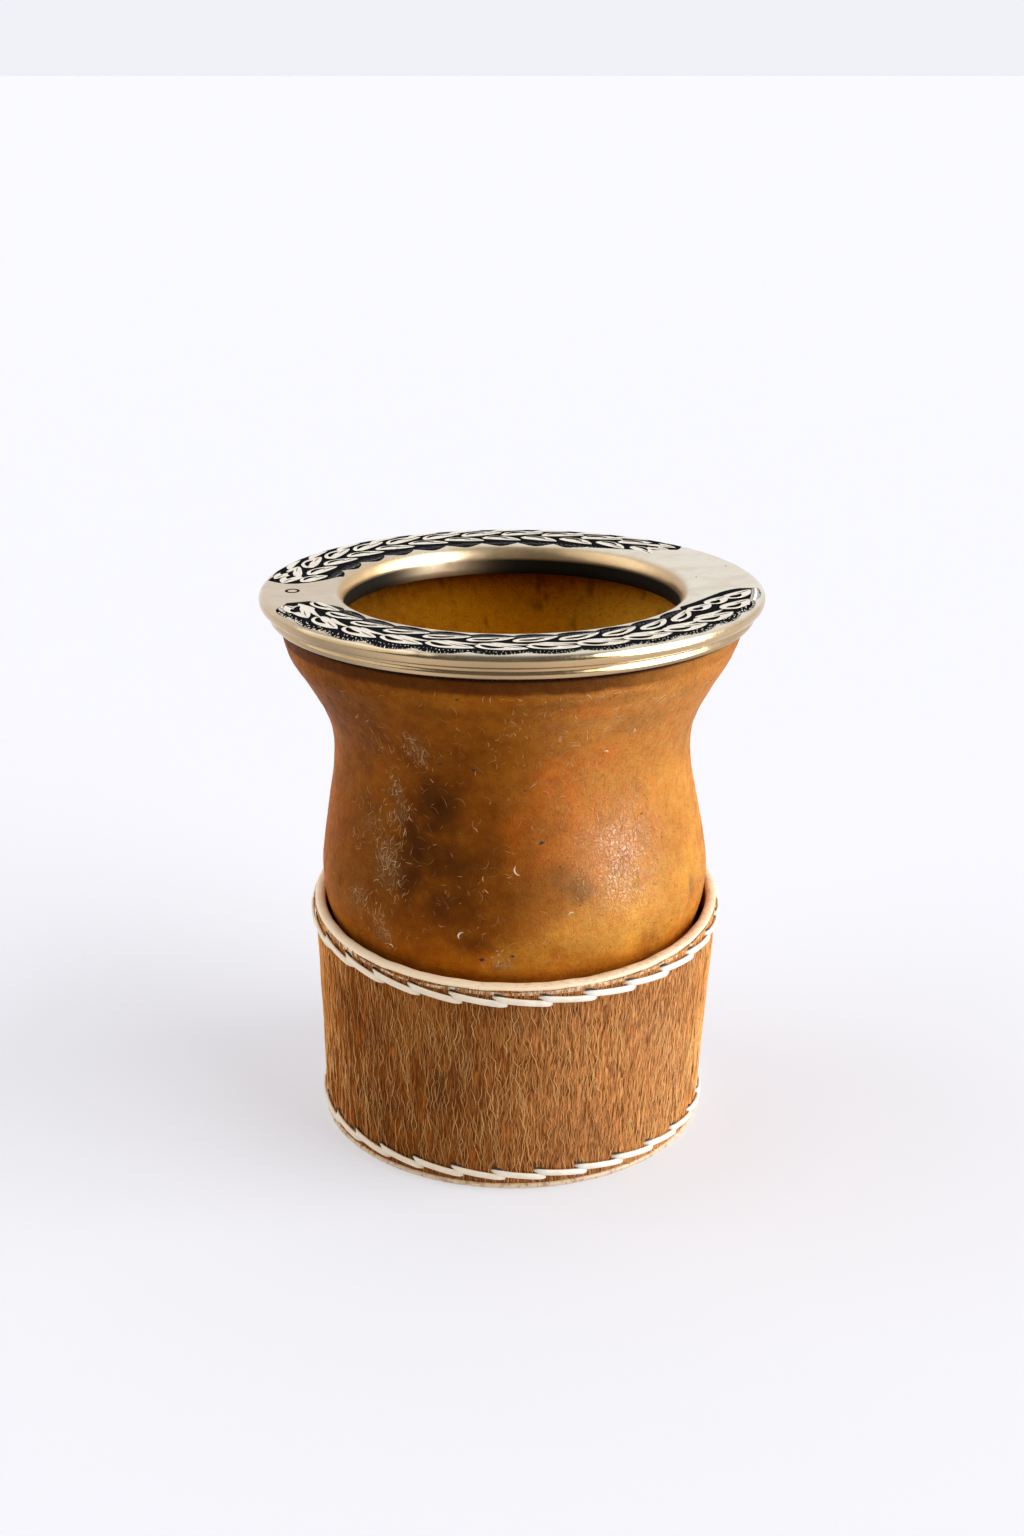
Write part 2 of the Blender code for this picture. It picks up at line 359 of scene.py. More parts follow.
# Light comes mostly from the right. The softboxes only show as reflections.
SUN_FROM = (0.85, -0.28, 0.47)
SUN_STRENGTH = 2.95
FILL_FROM = (-0.8, -0.1, 0.55)
FILL_STRENGTH = 1.0
SUN_ANGLE = math.radians(62.0)
SIDE_BOX = (0.6, -0.22, 0.13)
SIDE_BOX_SIZE = (0.4, 0.36)
SIDE_BOX_POWER = 11.0
HIGH_BOX = (0.5, -0.42, 0.5)
HIGH_BOX_SIZE = (0.1, 0.1)
HIGH_BOX_POWER = 0.5
BACK_SKY = (0.88, 0.885, 0.935)
FRONT_SKY = (0.12, 0.12, 0.12)
FLOOR_HALF = 60.0
FLOOR_COLOR = (0.5, 0.5, 0.515)
FLOOR_GLOW = (0.93, 0.93, 0.98)
FLOOR_GLOW_STRENGTH = 0.4


def add_light(name, kind, energy, source, target=(0.0, 0.0, 0.0), **settings):
    """A lamp that shines from source at target."""
    lamp = bpy.data.lights.new(name, kind)
    lamp.energy = energy
    for key, value in settings.items():
        setattr(lamp, key, value)
    holder = new_object(name, lamp)
    holder.location = source
    holder.rotation_euler = (Vector(source) - Vector(target)).to_track_quat("Z", "Y").to_euler()
    return holder


def softbox(name, energy, source, size, target_height):
    target = (0.0, 0.0, target_height)
    shape = {"shape": "RECTANGLE", "size": size[0], "size_y": size[1]}
    add_light(name, "AREA", energy, source, target, **shape).visible_diffuse = False


def make_studio():
    shader = Shader("floor_paper", roughness=0.9, color=FLOOR_COLOR)
    shader.set("Specular IOR Level", 0.1)
    shader.set("Emission Color", FLOOR_GLOW)
    shader.set("Emission Strength", FLOOR_GLOW_STRENGTH)
    mesh = bpy.data.meshes.new("floor")
    corners = [(x * FLOOR_HALF, y * FLOOR_HALF, 0) for x, y in ((-1, -1), (1, -1), (1, 1), (-1, 1))]
    mesh.from_pydata(corners, [], [(0, 1, 2, 3)])
    mesh.materials.append(shader.material)
    new_object("floor", mesh)
    add_light("key", "SUN", SUN_STRENGTH, SUN_FROM, angle=SUN_ANGLE)
    add_light("fill", "SUN", FILL_STRENGTH, FILL_FROM, angle=SUN_ANGLE)
    softbox("side_softbox", SIDE_BOX_POWER, SIDE_BOX, SIDE_BOX_SIZE, 0.06)
    softbox("high_softbox", HIGH_BOX_POWER, HIGH_BOX, HIGH_BOX_SIZE, 0.08)
    bpy.context.scene.view_settings.view_transform = "Standard"


def make_surroundings():
    """Pale surroundings behind the cup, darker ones on the camera's side."""
    world = bpy.data.worlds.new("studio")
    world.use_nodes = True
    nodes = Nodes(world.node_tree, "Generated")
    depth = nodes.node("SeparateXYZ", {0: nodes.position}).outputs["Y"]
    sky = nodes.mix(nodes.band(depth, -0.45, 0.35), FRONT_SKY, BACK_SKY)
    nodes.put(world.node_tree.nodes["Background"].inputs["Color"], sky)
    bpy.context.scene.world = world


def gourd_radius(height):
    """Outer radius of the gourd: a monotone cubic through the outline's points."""
    heights = np.array([point[0] for point in GOURD_OUTLINE])[::-1]
    radii = np.array([point[1] for point in GOURD_OUTLINE])[::-1]
    spans = np.diff(heights)
    chords = np.diff(radii) / spans
    slopes = np.zeros(len(heights))
    same = chords[:-1] * chords[1:] > 0.0
    slopes[1:-1][same] = (2.0 * chords[:-1] * chords[1:] / (chords[:-1] + chords[1:]))[same]
    slopes[0] = chords[0]
    slopes[-1] = chords[-1]
    height = np.clip(height, heights[0], heights[-1])
    index = np.clip(np.searchsorted(heights, height, side="right") - 1, 0, len(spans) - 1)
    span = spans[index]
    t = (height - heights[index]) / span
    return (
        (2 * t**3 - 3 * t**2 + 1) * radii[index]
        + (t**3 - 2 * t**2 + t) * span * slopes[index]
        + (-2 * t**3 + 3 * t**2) * radii[index + 1]
        + (t**3 - t**2) * span * slopes[index + 1]
    )


def gourd_wall(height):
    return GOURD_WALL + (GOURD_MOUTH_WALL - GOURD_WALL) * ramp(height, 80.0, 100.0)


def gourd_shift(height):
    rise = (height - BELLY_HEIGHT) / (NECK_HEIGHT - BELLY_HEIGHT)
    lower = BELLY_SHIFT + (NECK_SHIFT - BELLY_SHIFT) * np.maximum(rise, 0.0)
    upper = NECK_SHIFT * (1.0 - ramp(height, NECK_HEIGHT, MOUTH_HEIGHT))
    return np.where(height <= NECK_HEIGHT, lower, upper)


def blob(azimuth, height, where, size):
    """A soft patch: 1 at its middle, falling off over size (mm round the wall, mm up)."""
    around = (azimuth - where[0] + 180.0) % 360.0 - 180.0
    around = np.radians(around) * 36.0 / size[0]
    up = (height - where[1]) / size[1]
    return np.exp(-(around**2 + up**2))


def blend(base, color, share):
    share = np.asarray(share)[..., None]
    return np.asarray(base) * (1.0 - share) + np.asarray(color) * share


GOURD_TAN = (0.56, 0.18, 0.01)
GOURD_ORANGE = (0.58, 0.165, 0.006)
GOURD_GOLD = (0.88, 0.41, 0.05)
GOURD_BROWN = (0.075, 0.018, 0.001)
GOURD_RUST = (0.78, 0.155, 0.001)
GOURD_AMBER = (0.34, 0.082, 0.001)
GOURD_DUST = (0.4, 0.2, 0.07)
GOURD_PAINTED_LIGHT = (0.9, 0.5, 0.16)
GOURD_INSIDE = (0.72, 0.28, 0.002)
GOURD_INSIDE_DULL = (0.2, 0.095, 0.025)
INSIDE_PAINTED_LIGHT = (0.95, 0.5, 0.04)
PAINTED_CONTACT_SHADOW = (0.004, 0.002, 0.001)
RIM_STAIN = 99.25

# Marks on the skin: (azimuth, height, half width, half height, strength).
DARK_PATCHES = [
    (240, 71.5, 4.5, 5, 0.5), (238.5, 62.5, 4, 6, 0.5), (246.5, 67, 7, 10, 0.6),
    (247, 76, 5.5, 4, 0.45), (250, 57, 7, 5, 0.4), (262, 68, 4, 4, 0.2), (258, 50.5, 4, 2.2, 0.55),
    (289.5, 59.5, 3, 1.8, 0.6), (286, 62, 4, 2.8, 0.35), (282, 71, 5, 3, 0.1),
    (288, 97, 12, 1.4, 0.35), (306, 90.5, 8, 2, 0.3), (262, 95, 12, 1.5, 0.25),
    (333, 53.5, 1, 2.6, 0.5), (338, 82, 1.6, 7, 0.3), (210, 60, 14, 34, 0.28),
    (224, 90, 12, 12, 0.28), (80, 70, 14, 16, 0.5), (128, 54, 9, 10, 0.45), (30, 86, 12, 7, 0.35),
]
AMBER_PATCHES = [
    (256, 62, 13, 20, 0.6), (250, 84, 16, 9, 0.5), (232, 50, 12, 10, 0.6), (252, 50, 11, 6, 0.4),
    (110, 80, 24, 16, 0.5),
]
ORANGE_PATCHES = [
    (283.5, 80, 4, 5, 0.8), (296, 84.5, 4.5, 3, 0.5), (291, 95.5, 4, 2, 0.45), (279, 71, 7, 9, 0.4),
    (292, 68, 6, 8, 0.15), (150, 64, 18, 20, 0.5),
]
GOLD_PATCHES = [
    (327, 72, 10, 9, 0.3), (320, 56, 14, 9, 0.5), (345, 58, 12, 14, 0.45), (300, 51, 13, 6, 0.55),
    (275, 48, 8, 5, 0.35), (20, 60, 20, 20, 0.5),
]
DUST_PATCHES = [
    (242.7, 85.5, 1.8, 3.2, 0.5), (232.5, 77, 1.4, 2.4, 0.4), (234, 71.5, 1.3, 3, 0.4),
    (223, 69, 3, 2.6, 0.3), (231, 62.5, 3.4, 4.6, 0.45), (218.5, 54, 2.6, 2.4, 0.3),
    (230, 50, 2, 4, 0.3), (266.3, 46.4, 1.8, 1.6, 0.5), (288, 92.5, 9, 1.3, 0.3),
    (309, 95, 7, 1.4, 0.3),
]


def patches(points, azimuth, height, places, seed):
    """Total strength, 0 to 1, of a list of soft patches with uneven edges."""
    uneven = 0.95 * cloud(points, 4.0, 4, seed=seed)
    total = np.zeros(azimuth.shape)
    for where_azimuth, where_height, wide, tall, strength in places:
        patch = blob(azimuth, height, (where_azimuth, where_height), (wide, tall))
        patch = strength * ramp(patch * (1.0 + uneven) + 0.25 * uneven * patch, 0.05, 0.85)
        total = 1.0 - (1.0 - total) * (1.0 - patch)
    return total


def gourd_color(points, azimuth, height):
    """Mottled skin colour of the gourd's outside, with painted light on the right, painted shade on the
    front left and a painted shadow under the rim.
    """
    color = blend(GOURD_TAN, GOURD_ORANGE, 0.6 * ramp(cloud(points, 22.0, 3, seed=4), -0.1, 0.5))
    for tint, places, seed in (
        (GOURD_AMBER, AMBER_PATCHES, 13),
        (GOURD_GOLD, GOLD_PATCHES, 14),
        (GOURD_RUST, ORANGE_PATCHES, 15),
        (GOURD_BROWN, DARK_PATCHES, 16),
        (GOURD_DUST, DUST_PATCHES, 17),
    ):
        color = blend(color, tint, patches(points, azimuth, height, places, seed))
    mottle = cloud(points, 4.5, 4, seed=21) + 0.5 * cloud(points, 1.3, 2, seed=22)
    mottle = mottle + 0.7 * cloud(points, 9.0, 2, seed=25)
    color = color * (1.0 + 0.22 * mottle)[..., None]
    # Painted light: the right side, where the key light falls, is blended paler.
    painted_light_right = ramp(toward(azimuth, 317.0), 0.6, 1.0) * ramp(height, 42.0, 55.0)
    color = blend(color, GOURD_PAINTED_LIGHT, 0.3 * painted_light_right)
    # Painted shade: the front left is darkened.
    painted_shade_left = ramp(toward(azimuth, 243.0), 0.55, 1.0) * ramp(height, 40.0, 60.0)
    color = color * (1.0 - 0.46 * painted_shade_left)[..., None]
    edge = height + 0.5 * cloud(points, 2.5, 3, seed=8)
    stain = ramp(edge, RIM_STAIN - 0.45, RIM_STAIN + 0.45)
    color = blend(color, GOURD_BROWN, stain * (0.8 - 0.6 * ramp(toward(azimuth, 345.0), 0.55, 0.95)))
    # Painted shadow: a thin black line just under the rim's bead.
    color = blend(color, PAINTED_CONTACT_SHADOW, ramp(height, 101.7, 101.95))
    return np.clip(color, 0.0, 1.0)


def inside_color(points, azimuth, height):
    """Ochre inner wall with small dark flecks, duller towards the left, with painted shade on the left,
    painted light on the right and a painted shadow under the collar at the back.
    """
    dull = blob(azimuth, height, (165.0, 88.0), (30.0, 12.0))
    color = blend(GOURD_INSIDE, GOURD_INSIDE_DULL, 0.6 * dull)
    side = toward(azimuth, 0.0)
    broad = cloud(points, 18.0, 2, seed=6)
    # Painted shade darkens the left of the inner wall; painted light brightens the right.
    color = color * (1.0 + 0.12 * broad - 0.45 * ramp(-side, 0.2, 0.9))[..., None]
    color = blend(color, INSIDE_PAINTED_LIGHT, ramp(side, 0.1, 0.9))
    # Painted shadow under the collar at the back.
    painted_collar_shadow = ramp(toward(azimuth, 90.0), 0.3, 0.9) * ramp(height, 97.5, 101.5)
    color = color * (1.0 - 0.85 * painted_collar_shadow)[..., None]
    color = blend(color, GOURD_BROWN, 0.5 * ramp(cloud(points, 1.8, 2, seed=5), 0.35, 0.6))
    return np.clip(color, 0.0, 1.0)


def gourd_unevenness(points, height):
    """Hand-grown lumps on the outside, none where the rim holds the mouth."""
    lumps = 0.16 * cloud(points, 14.0, 3, seed=2) + 0.04 * cloud(points, 4.0, 2, seed=3)
    return lumps * ramp(height, 3.0, 20.0) * (1.0 - ramp(height, 98.0, 103.0))


def on_gourd(azimuth, height, lift):
    radius = gourd_radius(height)
    radius = radius + gourd_unevenness(cylinder_points(azimuth, radius, height), height) + lift
    points = cylinder_points(azimuth, radius, height)
    points[..., 0] += gourd_shift(height)
    return points


# The skin is worn glossy where a hand holds it.
POLISHED = (303.0, 64.0)
POLISHED_SIZE = (8.0, 9.0)
GOURD_AROUND = 270
GOURD_UP = 200
INNER_UP = 80
SKIN_SHADE = (0.2, 0.06, 0.008)
SKIN_LINE = (0.12, 0.032, 0.003)
SKIN_SPECK = (0.07, 0.025, 0.008)
SKIN_RUB = (0.75, 0.48, 0.25)


def gourd_material():
    shader = Shader("gourd_skin", roughness=0.4)
    shader.set("Specular IOR Level", 0.01)
    tone = shader.attribute("tone", "Color")
    outside = shader.attribute("outside")
    fine = shader.noise(0.55, detail=6.0, roughness=0.65)
    hairline = shader.noise(1.7, detail=5.0, roughness=0.6, distortion=1.4)
    color = shader.mix(shader.band(fine, 0.32, 0.72, 0.0, 0.4), tone, SKIN_SHADE, "SOFT_LIGHT")
    color = shader.mix(shader.band(hairline, 0.48, 0.7, 0.0, 0.42), color, SKIN_LINE)
    specks = shader.band(shader.noise(1.35, detail=2.0, roughness=0.7), 0.7, 0.77, 0.0, 0.5)
    color = shader.mix(specks, color, SKIN_SPECK)
    rubs = shader.band(shader.noise(0.9, detail=8.0, roughness=0.78, distortion=2.2), 0.6, 0.74, 0.0, 0.32)
    color = shader.mix(shader.times(rubs, outside), color, SKIN_RUB)
    shader.set("Base Color", color)
    shader.set("Roughness", shader.band(fine, 0.25, 0.75, 0.3, 0.48))
    cells = shader.cracks(1.15, vector=shader.stretch(1.0, 1.0, 0.7))
    cells = shader.band(cells, 0.0, 0.12)
    height = shader.times(cells, 0.3)
    height = shader.plus(height, shader.times(hairline, 1.8))
    height = shader.plus(height, shader.times(fine, 1.2))
    shader.set("Normal", shader.bump(height, 0.16))
    polish = shader.plus(shader.times(shader.attribute("polish"), 0.9), 0.03)
    shader.set("Coat Weight", shader.times(outside, polish))
    shader.set("Coat Roughness", 0.15)
    ridges = shader.plus(shader.times(cells, 0.9), shader.plus(hairline, fine))
    shader.set("Coat Normal", shader.bump(ridges, 0.15))
    return shader.material


def make_gourd():
    """Hollow gourd: outer wall, mouth edge and inner wall as one closed surface."""
    piece = Piece("gourd_shell")
    azimuth = np.arange(GOURD_AROUND) * 360.0 / GOURD_AROUND
    top = GOURD_OUTLINE[0][0]
    bottom = GOURD_OUTLINE[-1][0]
    outer_height = bottom + (top - bottom) * np.linspace(0.0, 1.0, GOURD_UP) ** 0.9
    around, up = np.meshgrid(azimuth, outer_height)
    outer = on_gourd(around, up, 0.0)
    inner_height = GOURD_FLOOR + (top - GOURD_FLOOR) * np.linspace(1.0, 0.0, INNER_UP) ** 1.3
    inner_around, inner_up = np.meshgrid(azimuth, inner_height)
    inner_radius = gourd_radius(inner_up) - gourd_wall(inner_up)
    inner_radius[-1] *= 0.6
    inner = cylinder_points(inner_around, inner_radius, inner_up)
    inner[..., 0] += gourd_shift(inner_up)
    tone = [gourd_color(outer, around, up), inside_color(inner, inner_around, inner_up)]
    polish = blob(around, up, POLISHED, POLISHED_SIZE) * (0.8 + 0.5 * cloud(outer, 3.0, 3, seed=61))
    none = np.zeros(inner_up.shape)
    values = {"tone": tone, "outside": [np.ones(up.shape), none], "polish": [polish.clip(0.0, 1.0), none]}
    values = {key: np.concatenate(parts)[::-1] for key, parts in values.items()}
    piece.grid(np.concatenate([outer, inner])[::-1], wrap_columns=True, caps=1, **values)
    piece.build(gourd_material(), "gourd_shell", "gourd")


# Clusters of fine pale scuffs: (azimuth, height, spread, count, length).
SCUFFS = [
    (242.7, 85.5, 2.2, 68, 1), (228.5, 87, 3, 32, 1.4), (232.5, 77, 1.4, 40, 0.9),
    (234, 72, 1.8, 48, 1), (224, 69.5, 3, 52, 1.1), (230.5, 64.5, 2.6, 80, 1.3),
    (233, 60.5, 2.6, 72, 1.2), (217, 65, 1.6, 24, 1), (219, 53.5, 2, 32, 1),
    (227.5, 52.5, 2.2, 36, 1.2), (230.5, 48.5, 1.6, 28, 1.3), (266.3, 46.4, 1.6, 44, 0.8),
    (291, 94, 5, 68, 1.2), (309, 95, 4.5, 60, 1.4), (322, 93, 5, 52, 1.6), (303, 88.5, 5, 44, 1.3),
    (270, 91, 5, 52, 0.9), (303, 70, 6, 92, 1.2), (309, 62, 5, 80, 1.2), (285, 84, 6, 52, 1),
    (253, 62, 10, 40, 0.7), (20, 70, 16, 100, 1.2), (110, 64, 18, 120, 1.2), (165, 76, 10, 80, 1.2),
]
# Small dark pits: (azimuth, height, radius).
PITS = [
    (257.6, 98.3, 0.32), (248.9, 83.5, 0.4), (259, 82.9, 0.42), (273.8, 78.9, 0.26),
    (260.8, 47.3, 0.55), (312.4, 71.2, 0.28), (278.4, 69, 0.5), (283.5, 64.6, 0.25),
    (288.7, 57.2, 0.22), (269.4, 48.2, 0.4), (319.8, 65.6, 0.2), (321.7, 49, 0.26),
    (316.2, 46.2, 0.22), (120, 60, 0.4), (60, 75, 0.35),
]
# Bright chips: (azimuth, height, length, turn in degrees).
CHIPS = [
    (255.6, 51.6, 1.7, 150), (231.9, 46.2, 1, 60), (271.7, 64.4, 1.9, 200), (286, 55.6, 1.1, 120),
    (304.6, 89, 0.9, 10), (297.6, 85.1, 1, 70),
]

CREASE_COUNT = 2400
CREASE_PALE = (0.95, 0.62, 0.3)
SCUFF_DARKEST = (0.4, 0.18, 0.05)
SCUFF_PALEST = (0.85, 0.58, 0.32)
CHIP_TONE = (0.85, 0.66, 0.45)
PIT_DARK = (0.02, 0.008, 0.003)


def curls(around, up, size, turn, bend):
    """Short bent paths: millimetres sideways and upwards, one row each."""
    share = np.linspace(-0.5, 0.5, 5)
    local = share * size[:, None]
    curve = bend[:, None] * (0.25 - share**2) * size[:, None]
    cosine = np.cos(turn)[:, None]
    sine = np.sin(turn)[:, None]
    return around[:, None] + cosine * local - sine * curve, up[:, None] + sine * local + cosine * curve


def curl_width(random, thinnest, widest, count):
    taper = np.sin(math.pi * np.linspace(0.02, 0.98, 5)) ** 0.5
    return random.uniform(thinnest, widest, count)[:, None] * taper


def mark(piece, azimuth, height, x, y, lift, width, ridge, **values):
    """Strips on the skin whose paths run x mm round from an azimuth and y mm up from a height."""
    around = azimuth + np.degrees(x / gourd_radius(height))
    strokes(piece, on_gourd, around, height + y, lift, width, ridge, **values)


def toned_material(name, roughness, specular):
    shader = Shader(name, roughness=roughness)
    shader.set("Specular IOR Level", specular)
    shader.set("Base Color", shader.attribute("tone", "Color"))
    return shader.material


def make_creases():
    """Fine creases all over the skin, some pale and some dark."""
    random = np.random.default_rng(78)
    piece = Piece("gourd_creases")
    azimuth = random.uniform(0.0, 360.0, CREASE_COUNT)
    height = random.uniform(45.0, 99.0, CREASE_COUNT)
    size = random.uniform(0.8, 2.6, CREASE_COUNT)
    turn = random.uniform(0.0, math.pi, CREASE_COUNT)
    zero = np.zeros(CREASE_COUNT)
    x, y = curls(zero, zero, size, turn, random.uniform(-1.3, 1.3, CREASE_COUNT))
    skin = gourd_color(on_gourd(azimuth, height, 0.0), azimuth, height)
    light = random.uniform(0.0, 1.0, CREASE_COUNT)
    tone = blend(skin * 0.5, CREASE_PALE, 0.5 * ramp(light, 0.3, 1.0))
    tone = np.where((light > 0.4)[:, None], blend(skin, CREASE_PALE, 0.4 * light), tone)
    width = curl_width(random, 0.015, 0.045, CREASE_COUNT)
    mark(piece, azimuth[:, None], height[:, None], x, y, 0.0, width, 0.025, tone=tone)
    piece.build(toned_material("scuff", 0.5, 0.1), "gourd_shell")


def make_scuffs():
    random = np.random.default_rng(77)
    piece = Piece("gourd_scuffs")
    for azimuth, height, spread, count, length in SCUFFS:
        around = random.normal(0.0, 0.8 * spread, count)
        up = np.clip(random.normal(0.0, spread, count), 46.0 - height, 98.5 - height)
        size = length * random.uniform(0.4, 1.7, count)
        turn = np.radians(random.normal(80.0, 45.0, count))
        x, y = curls(around, up, size, turn, random.uniform(-1.0, 1.0, count))
        width = curl_width(random, 0.02, 0.07, count)
        tone = blend(SCUFF_DARKEST, SCUFF_PALEST, random.uniform(0.0, 1.0, count) ** 1.6)
        mark(piece, azimuth, height, x, y, 0.0, width, 0.035, tone=tone)
    width = 0.17 * np.sin(math.pi * np.linspace(0.06, 0.94, 7))
    for azimuth, height, length, turn in CHIPS:
        angle = np.radians(turn + np.linspace(-70.0, 70.0, 7))
        x = 0.5 * length * np.cos(angle)
        y = 0.5 * length * np.sin(angle)
        mark(piece, azimuth, height, x, y, 0.0, width, 0.09, tone=CHIP_TONE)
    piece.build(toned_material("scuff", 0.5, 0.1), "gourd_shell")


def make_pits():
    piece = Piece("gourd_pits")
    for azimuth, height, size in PITS:
        x = np.linspace(-size, size, 7)
        width = 0.85 * np.sqrt(np.maximum(size**2 - x**2, 0.0004))
        mark(piece, azimuth, height, x, 0.2 * x, -0.02, width, 0.06)
    piece.build(Shader("pit", roughness=0.8, color=PIT_DARK).material, "gourd_shell")


def rim_top(radius):
    """Height of the rim's upper face at a radius."""
    radius = np.asarray(radius, float)
    run = (SHOULDER_RADIUS - np.minimum(radius, SHOULDER_RADIUS)) / (SHOULDER_RADIUS - THROAT_RADIUS)
    shoulder = THROAT_EDGE + (TOP_HEIGHT - THROAT_EDGE) * np.sqrt(np.clip(1.0 - run**2, 0.0, 1.0))
    plateau = TOP_HEIGHT + TOP_CROWN * ramp(radius, SHOULDER_RADIUS, SHOULDER_RADIUS + 5.0)
    over = np.clip(radius - ROLL_CENTER, 0.0, ROLL_RADIUS)
    roll = ROLL_HEIGHT + np.sqrt(ROLL_RADIUS**2 - over**2)
    return np.where(radius < SHOULDER_RADIUS, shoulder, np.where(radius < ROLL_CENTER, plateau, roll))


# The two garlands: (first azimuth, last azimuth) in degrees, counted the way the leaves point.
FRONT_GARLAND = (198.5, 356.5)
BACK_GARLAND = (179.5, 40.0)
RECESS = 0.15


def scallops(phase, sharpness=0.6, skew=1.0):
    """0 at the cusps, 1 at the bulges."""
    return np.sin(math.pi * (phase % 1.0) ** skew) ** sharpness


def front_edge(azimuth):
    """Radius of the scalloped outer edge of the front garland's ground."""
    broad = 0.4 * near(azimuth, 243.0, 20.0)
    return 45.72 + 0.95 * scallops((azimuth - 213.0) / 12.0, 0.5) + broad


def front_ground(azimuth, radius):
    """How far inside the front garland's blackened ground a point lies, in mm."""
    first, last = FRONT_GARLAND
    outer = front_edge(azimuth) - 3.2 * ramp(azimuth, 206.0, 198.0) ** 2
    inner = 35.3 - 1.15 * scallops((azimuth - 211.0) / 11.9, 0.7, 0.8)
    inner = inner + 3.8 * ramp(azimuth, 210.5, 198.0)
    inner = inner + 5.5 * ramp(azimuth, 338.0, 357.0) ** 1.3
    start = np.radians(azimuth - first) * radius
    end = np.radians(last - azimuth) * radius - 2.4 * (np.maximum(44.0 - radius, 0.0) / 4.0) ** 2
    return np.minimum(np.minimum(outer - radius, radius - inner), np.minimum(start, end))


def back_ground(azimuth, radius):
    """The same for the back garland."""
    first, last = BACK_GARLAND
    outer = 45.9 + 0.7 * scallops((161.5 - azimuth) / 11.45, 0.5)
    inner = 35.3 - 2.1 * scallops((173.6 - azimuth) / 12.2, 0.5, 1.1)
    inner = inner + 9.5 * ramp(azimuth, 60.0, 38.0) ** 1.5
    start = np.radians(first - azimuth) * radius - 2.6 * ((radius - 41.5) / 5.0) ** 2
    end = np.radians(azimuth - last) * radius - 1.6 * ((radius - 43.3) / 3.0) ** 2
    return np.minimum(np.minimum(outer - radius, radius - inner), np.minimum(start, end))


def ground_depth(azimuth, radius):
    azimuth = np.asarray(azimuth) % 360.0
    return np.maximum(front_ground(azimuth, radius), back_ground(azimuth, radius))


def leaf_layout():
    """Every leaf: (base azimuth, base radius, tip azimuth, tip radius, half width, slit length)."""
    leaves = [
        (335.5, 41.6, 346.0, 44.8, 1.8, 0.4),
        (330.0, 36.7, 338.8, 38.7, 1.6, 0.32),
        (338.6, 38.0, 347.6, 40.4, 1.65, 0.32),
        (345.8, 40.4, 355.0, 44.6, 1.7, 0.34),
        (208.6, 42.3, 200.8, 43.9, 1.75, 0.34),
        (206.6, 39.9, 200.0, 41.3, 0.9, 0.0),
        (170.6, 41.4, 178.6, 43.4, 1.8, 0.34),
        (166.8, 43.8, 174.8, 45.4, 1.2, 0.3),
        (176.8, 39.9, 168.6, 36.1, 1.6, 0.45),
        (48.0, 40.9, 41.2, 42.2, 1.2, 0.3),
        (51.0, 43.2, 42.0, 44.6, 1.3, 0.3),
    ]
    for k in range(11):
        tip = 213.2 + 12.0 * k
        outwards = 0.9 * max(0.0, (tip - 310.0) / 25.0)
        leaves.append((tip - 11.9, 41.2, tip + 0.4, 43.4 + outwards, 1.8, 0.4))
        leaves.append((tip - 8.6, 39.9, tip + 1.2, 41.2 + outwards, 0.5, 0.0))
        tip = 211.0 + 11.9 * k
        leaves.append((tip - 12.2, 38.5, tip + 0.3, 36.2, 1.4, 0.46))
        tip = 161.5 - 11.45 * k
        leaves.append((tip + 11.6, 41.9, tip, 43.9, 1.7, 0.42))
        tip = 157.2 - 11.65 * k
        leaves.append((tip + 11.6, 39.8, tip, 37.1, 1.55, 0.45))
    for k in range(10):
        tip = 155.5 - 11.45 * k
        leaves.append((tip + 9.0, 45.0, tip, 46.0, 0.7, 0.0))
    return leaves


LEAF_STATIONS = 20
LEAF_ACROSS = 11
LEAF_CROWN = 0.06
LEAF_EDGE = 0.02


def leaf_width(u):
    """Share of the half width along a leaf: rounded at the base, pointed at the tip."""
    u = np.clip(u, 0.004, 0.996)
    return 2.21 * (1.0 - u) ** 0.75 * u**0.45


def leaf_height(u, v):
    """Height of a leaf's surface over the rim's face: a soft crown, lower at its two ends."""
    crown = LEAF_CROWN * (1.0 - np.abs(v) ** 2.4) * leaf_width(u)
    return crown - LEAF_EDGE - 0.08 * (1.0 - ramp(u, 0.0, 0.2))


def leaf_track(leaf, u, v):
    """Azimuth and radius at u along a leaf and v half widths across it, outwards."""
    base_azimuth, base_radius, tip_azimuth, tip_radius, half, _ = leaf
    middle = 0.5 * (base_radius + tip_radius)
    base = np.array([math.radians(base_azimuth) * middle, base_radius])
    axis = np.array([math.radians(tip_azimuth) * middle, tip_radius]) - base
    normal = np.array([-axis[1], axis[0]]) / float(np.hypot(*axis))
    if normal[1] < 0.0:
        normal = -normal
    side = v * half * leaf_width(u) + 0.3 * np.sin(math.pi * u)
    flat = base + u[..., None] * axis + side[..., None] * normal
    return np.degrees(flat[..., 0] / middle), flat[..., 1]


def on_rim(azimuth, radius, lift):
    return cylinder_points(azimuth, radius, rim_top(radius) + lift)


def add_leaf(piece, leaf):
    u = np.linspace(0.0, 1.0, LEAF_STATIONS)
    v = np.linspace(-1.0, 1.0, LEAF_ACROSS)
    along, across = np.meshgrid(u, v, indexing="ij")
    azimuth, radius = leaf_track(leaf, along, across)
    top = on_rim(azimuth, radius, leaf_height(along, across))
    bottom = on_rim(azimuth, radius, -RECESS - 0.1)
    section = np.concatenate([top, bottom[:, ::-1]], 1)
    sunk = np.tile(np.repeat([0.0, 1.0], LEAF_ACROSS), (LEAF_STATIONS, 1))
    if leaf[2] > leaf[0]:
        section = section[:, ::-1]
        sunk = sunk[:, ::-1]
    piece.grid(section, wrap_columns=True, caps=1, ground=sunk)


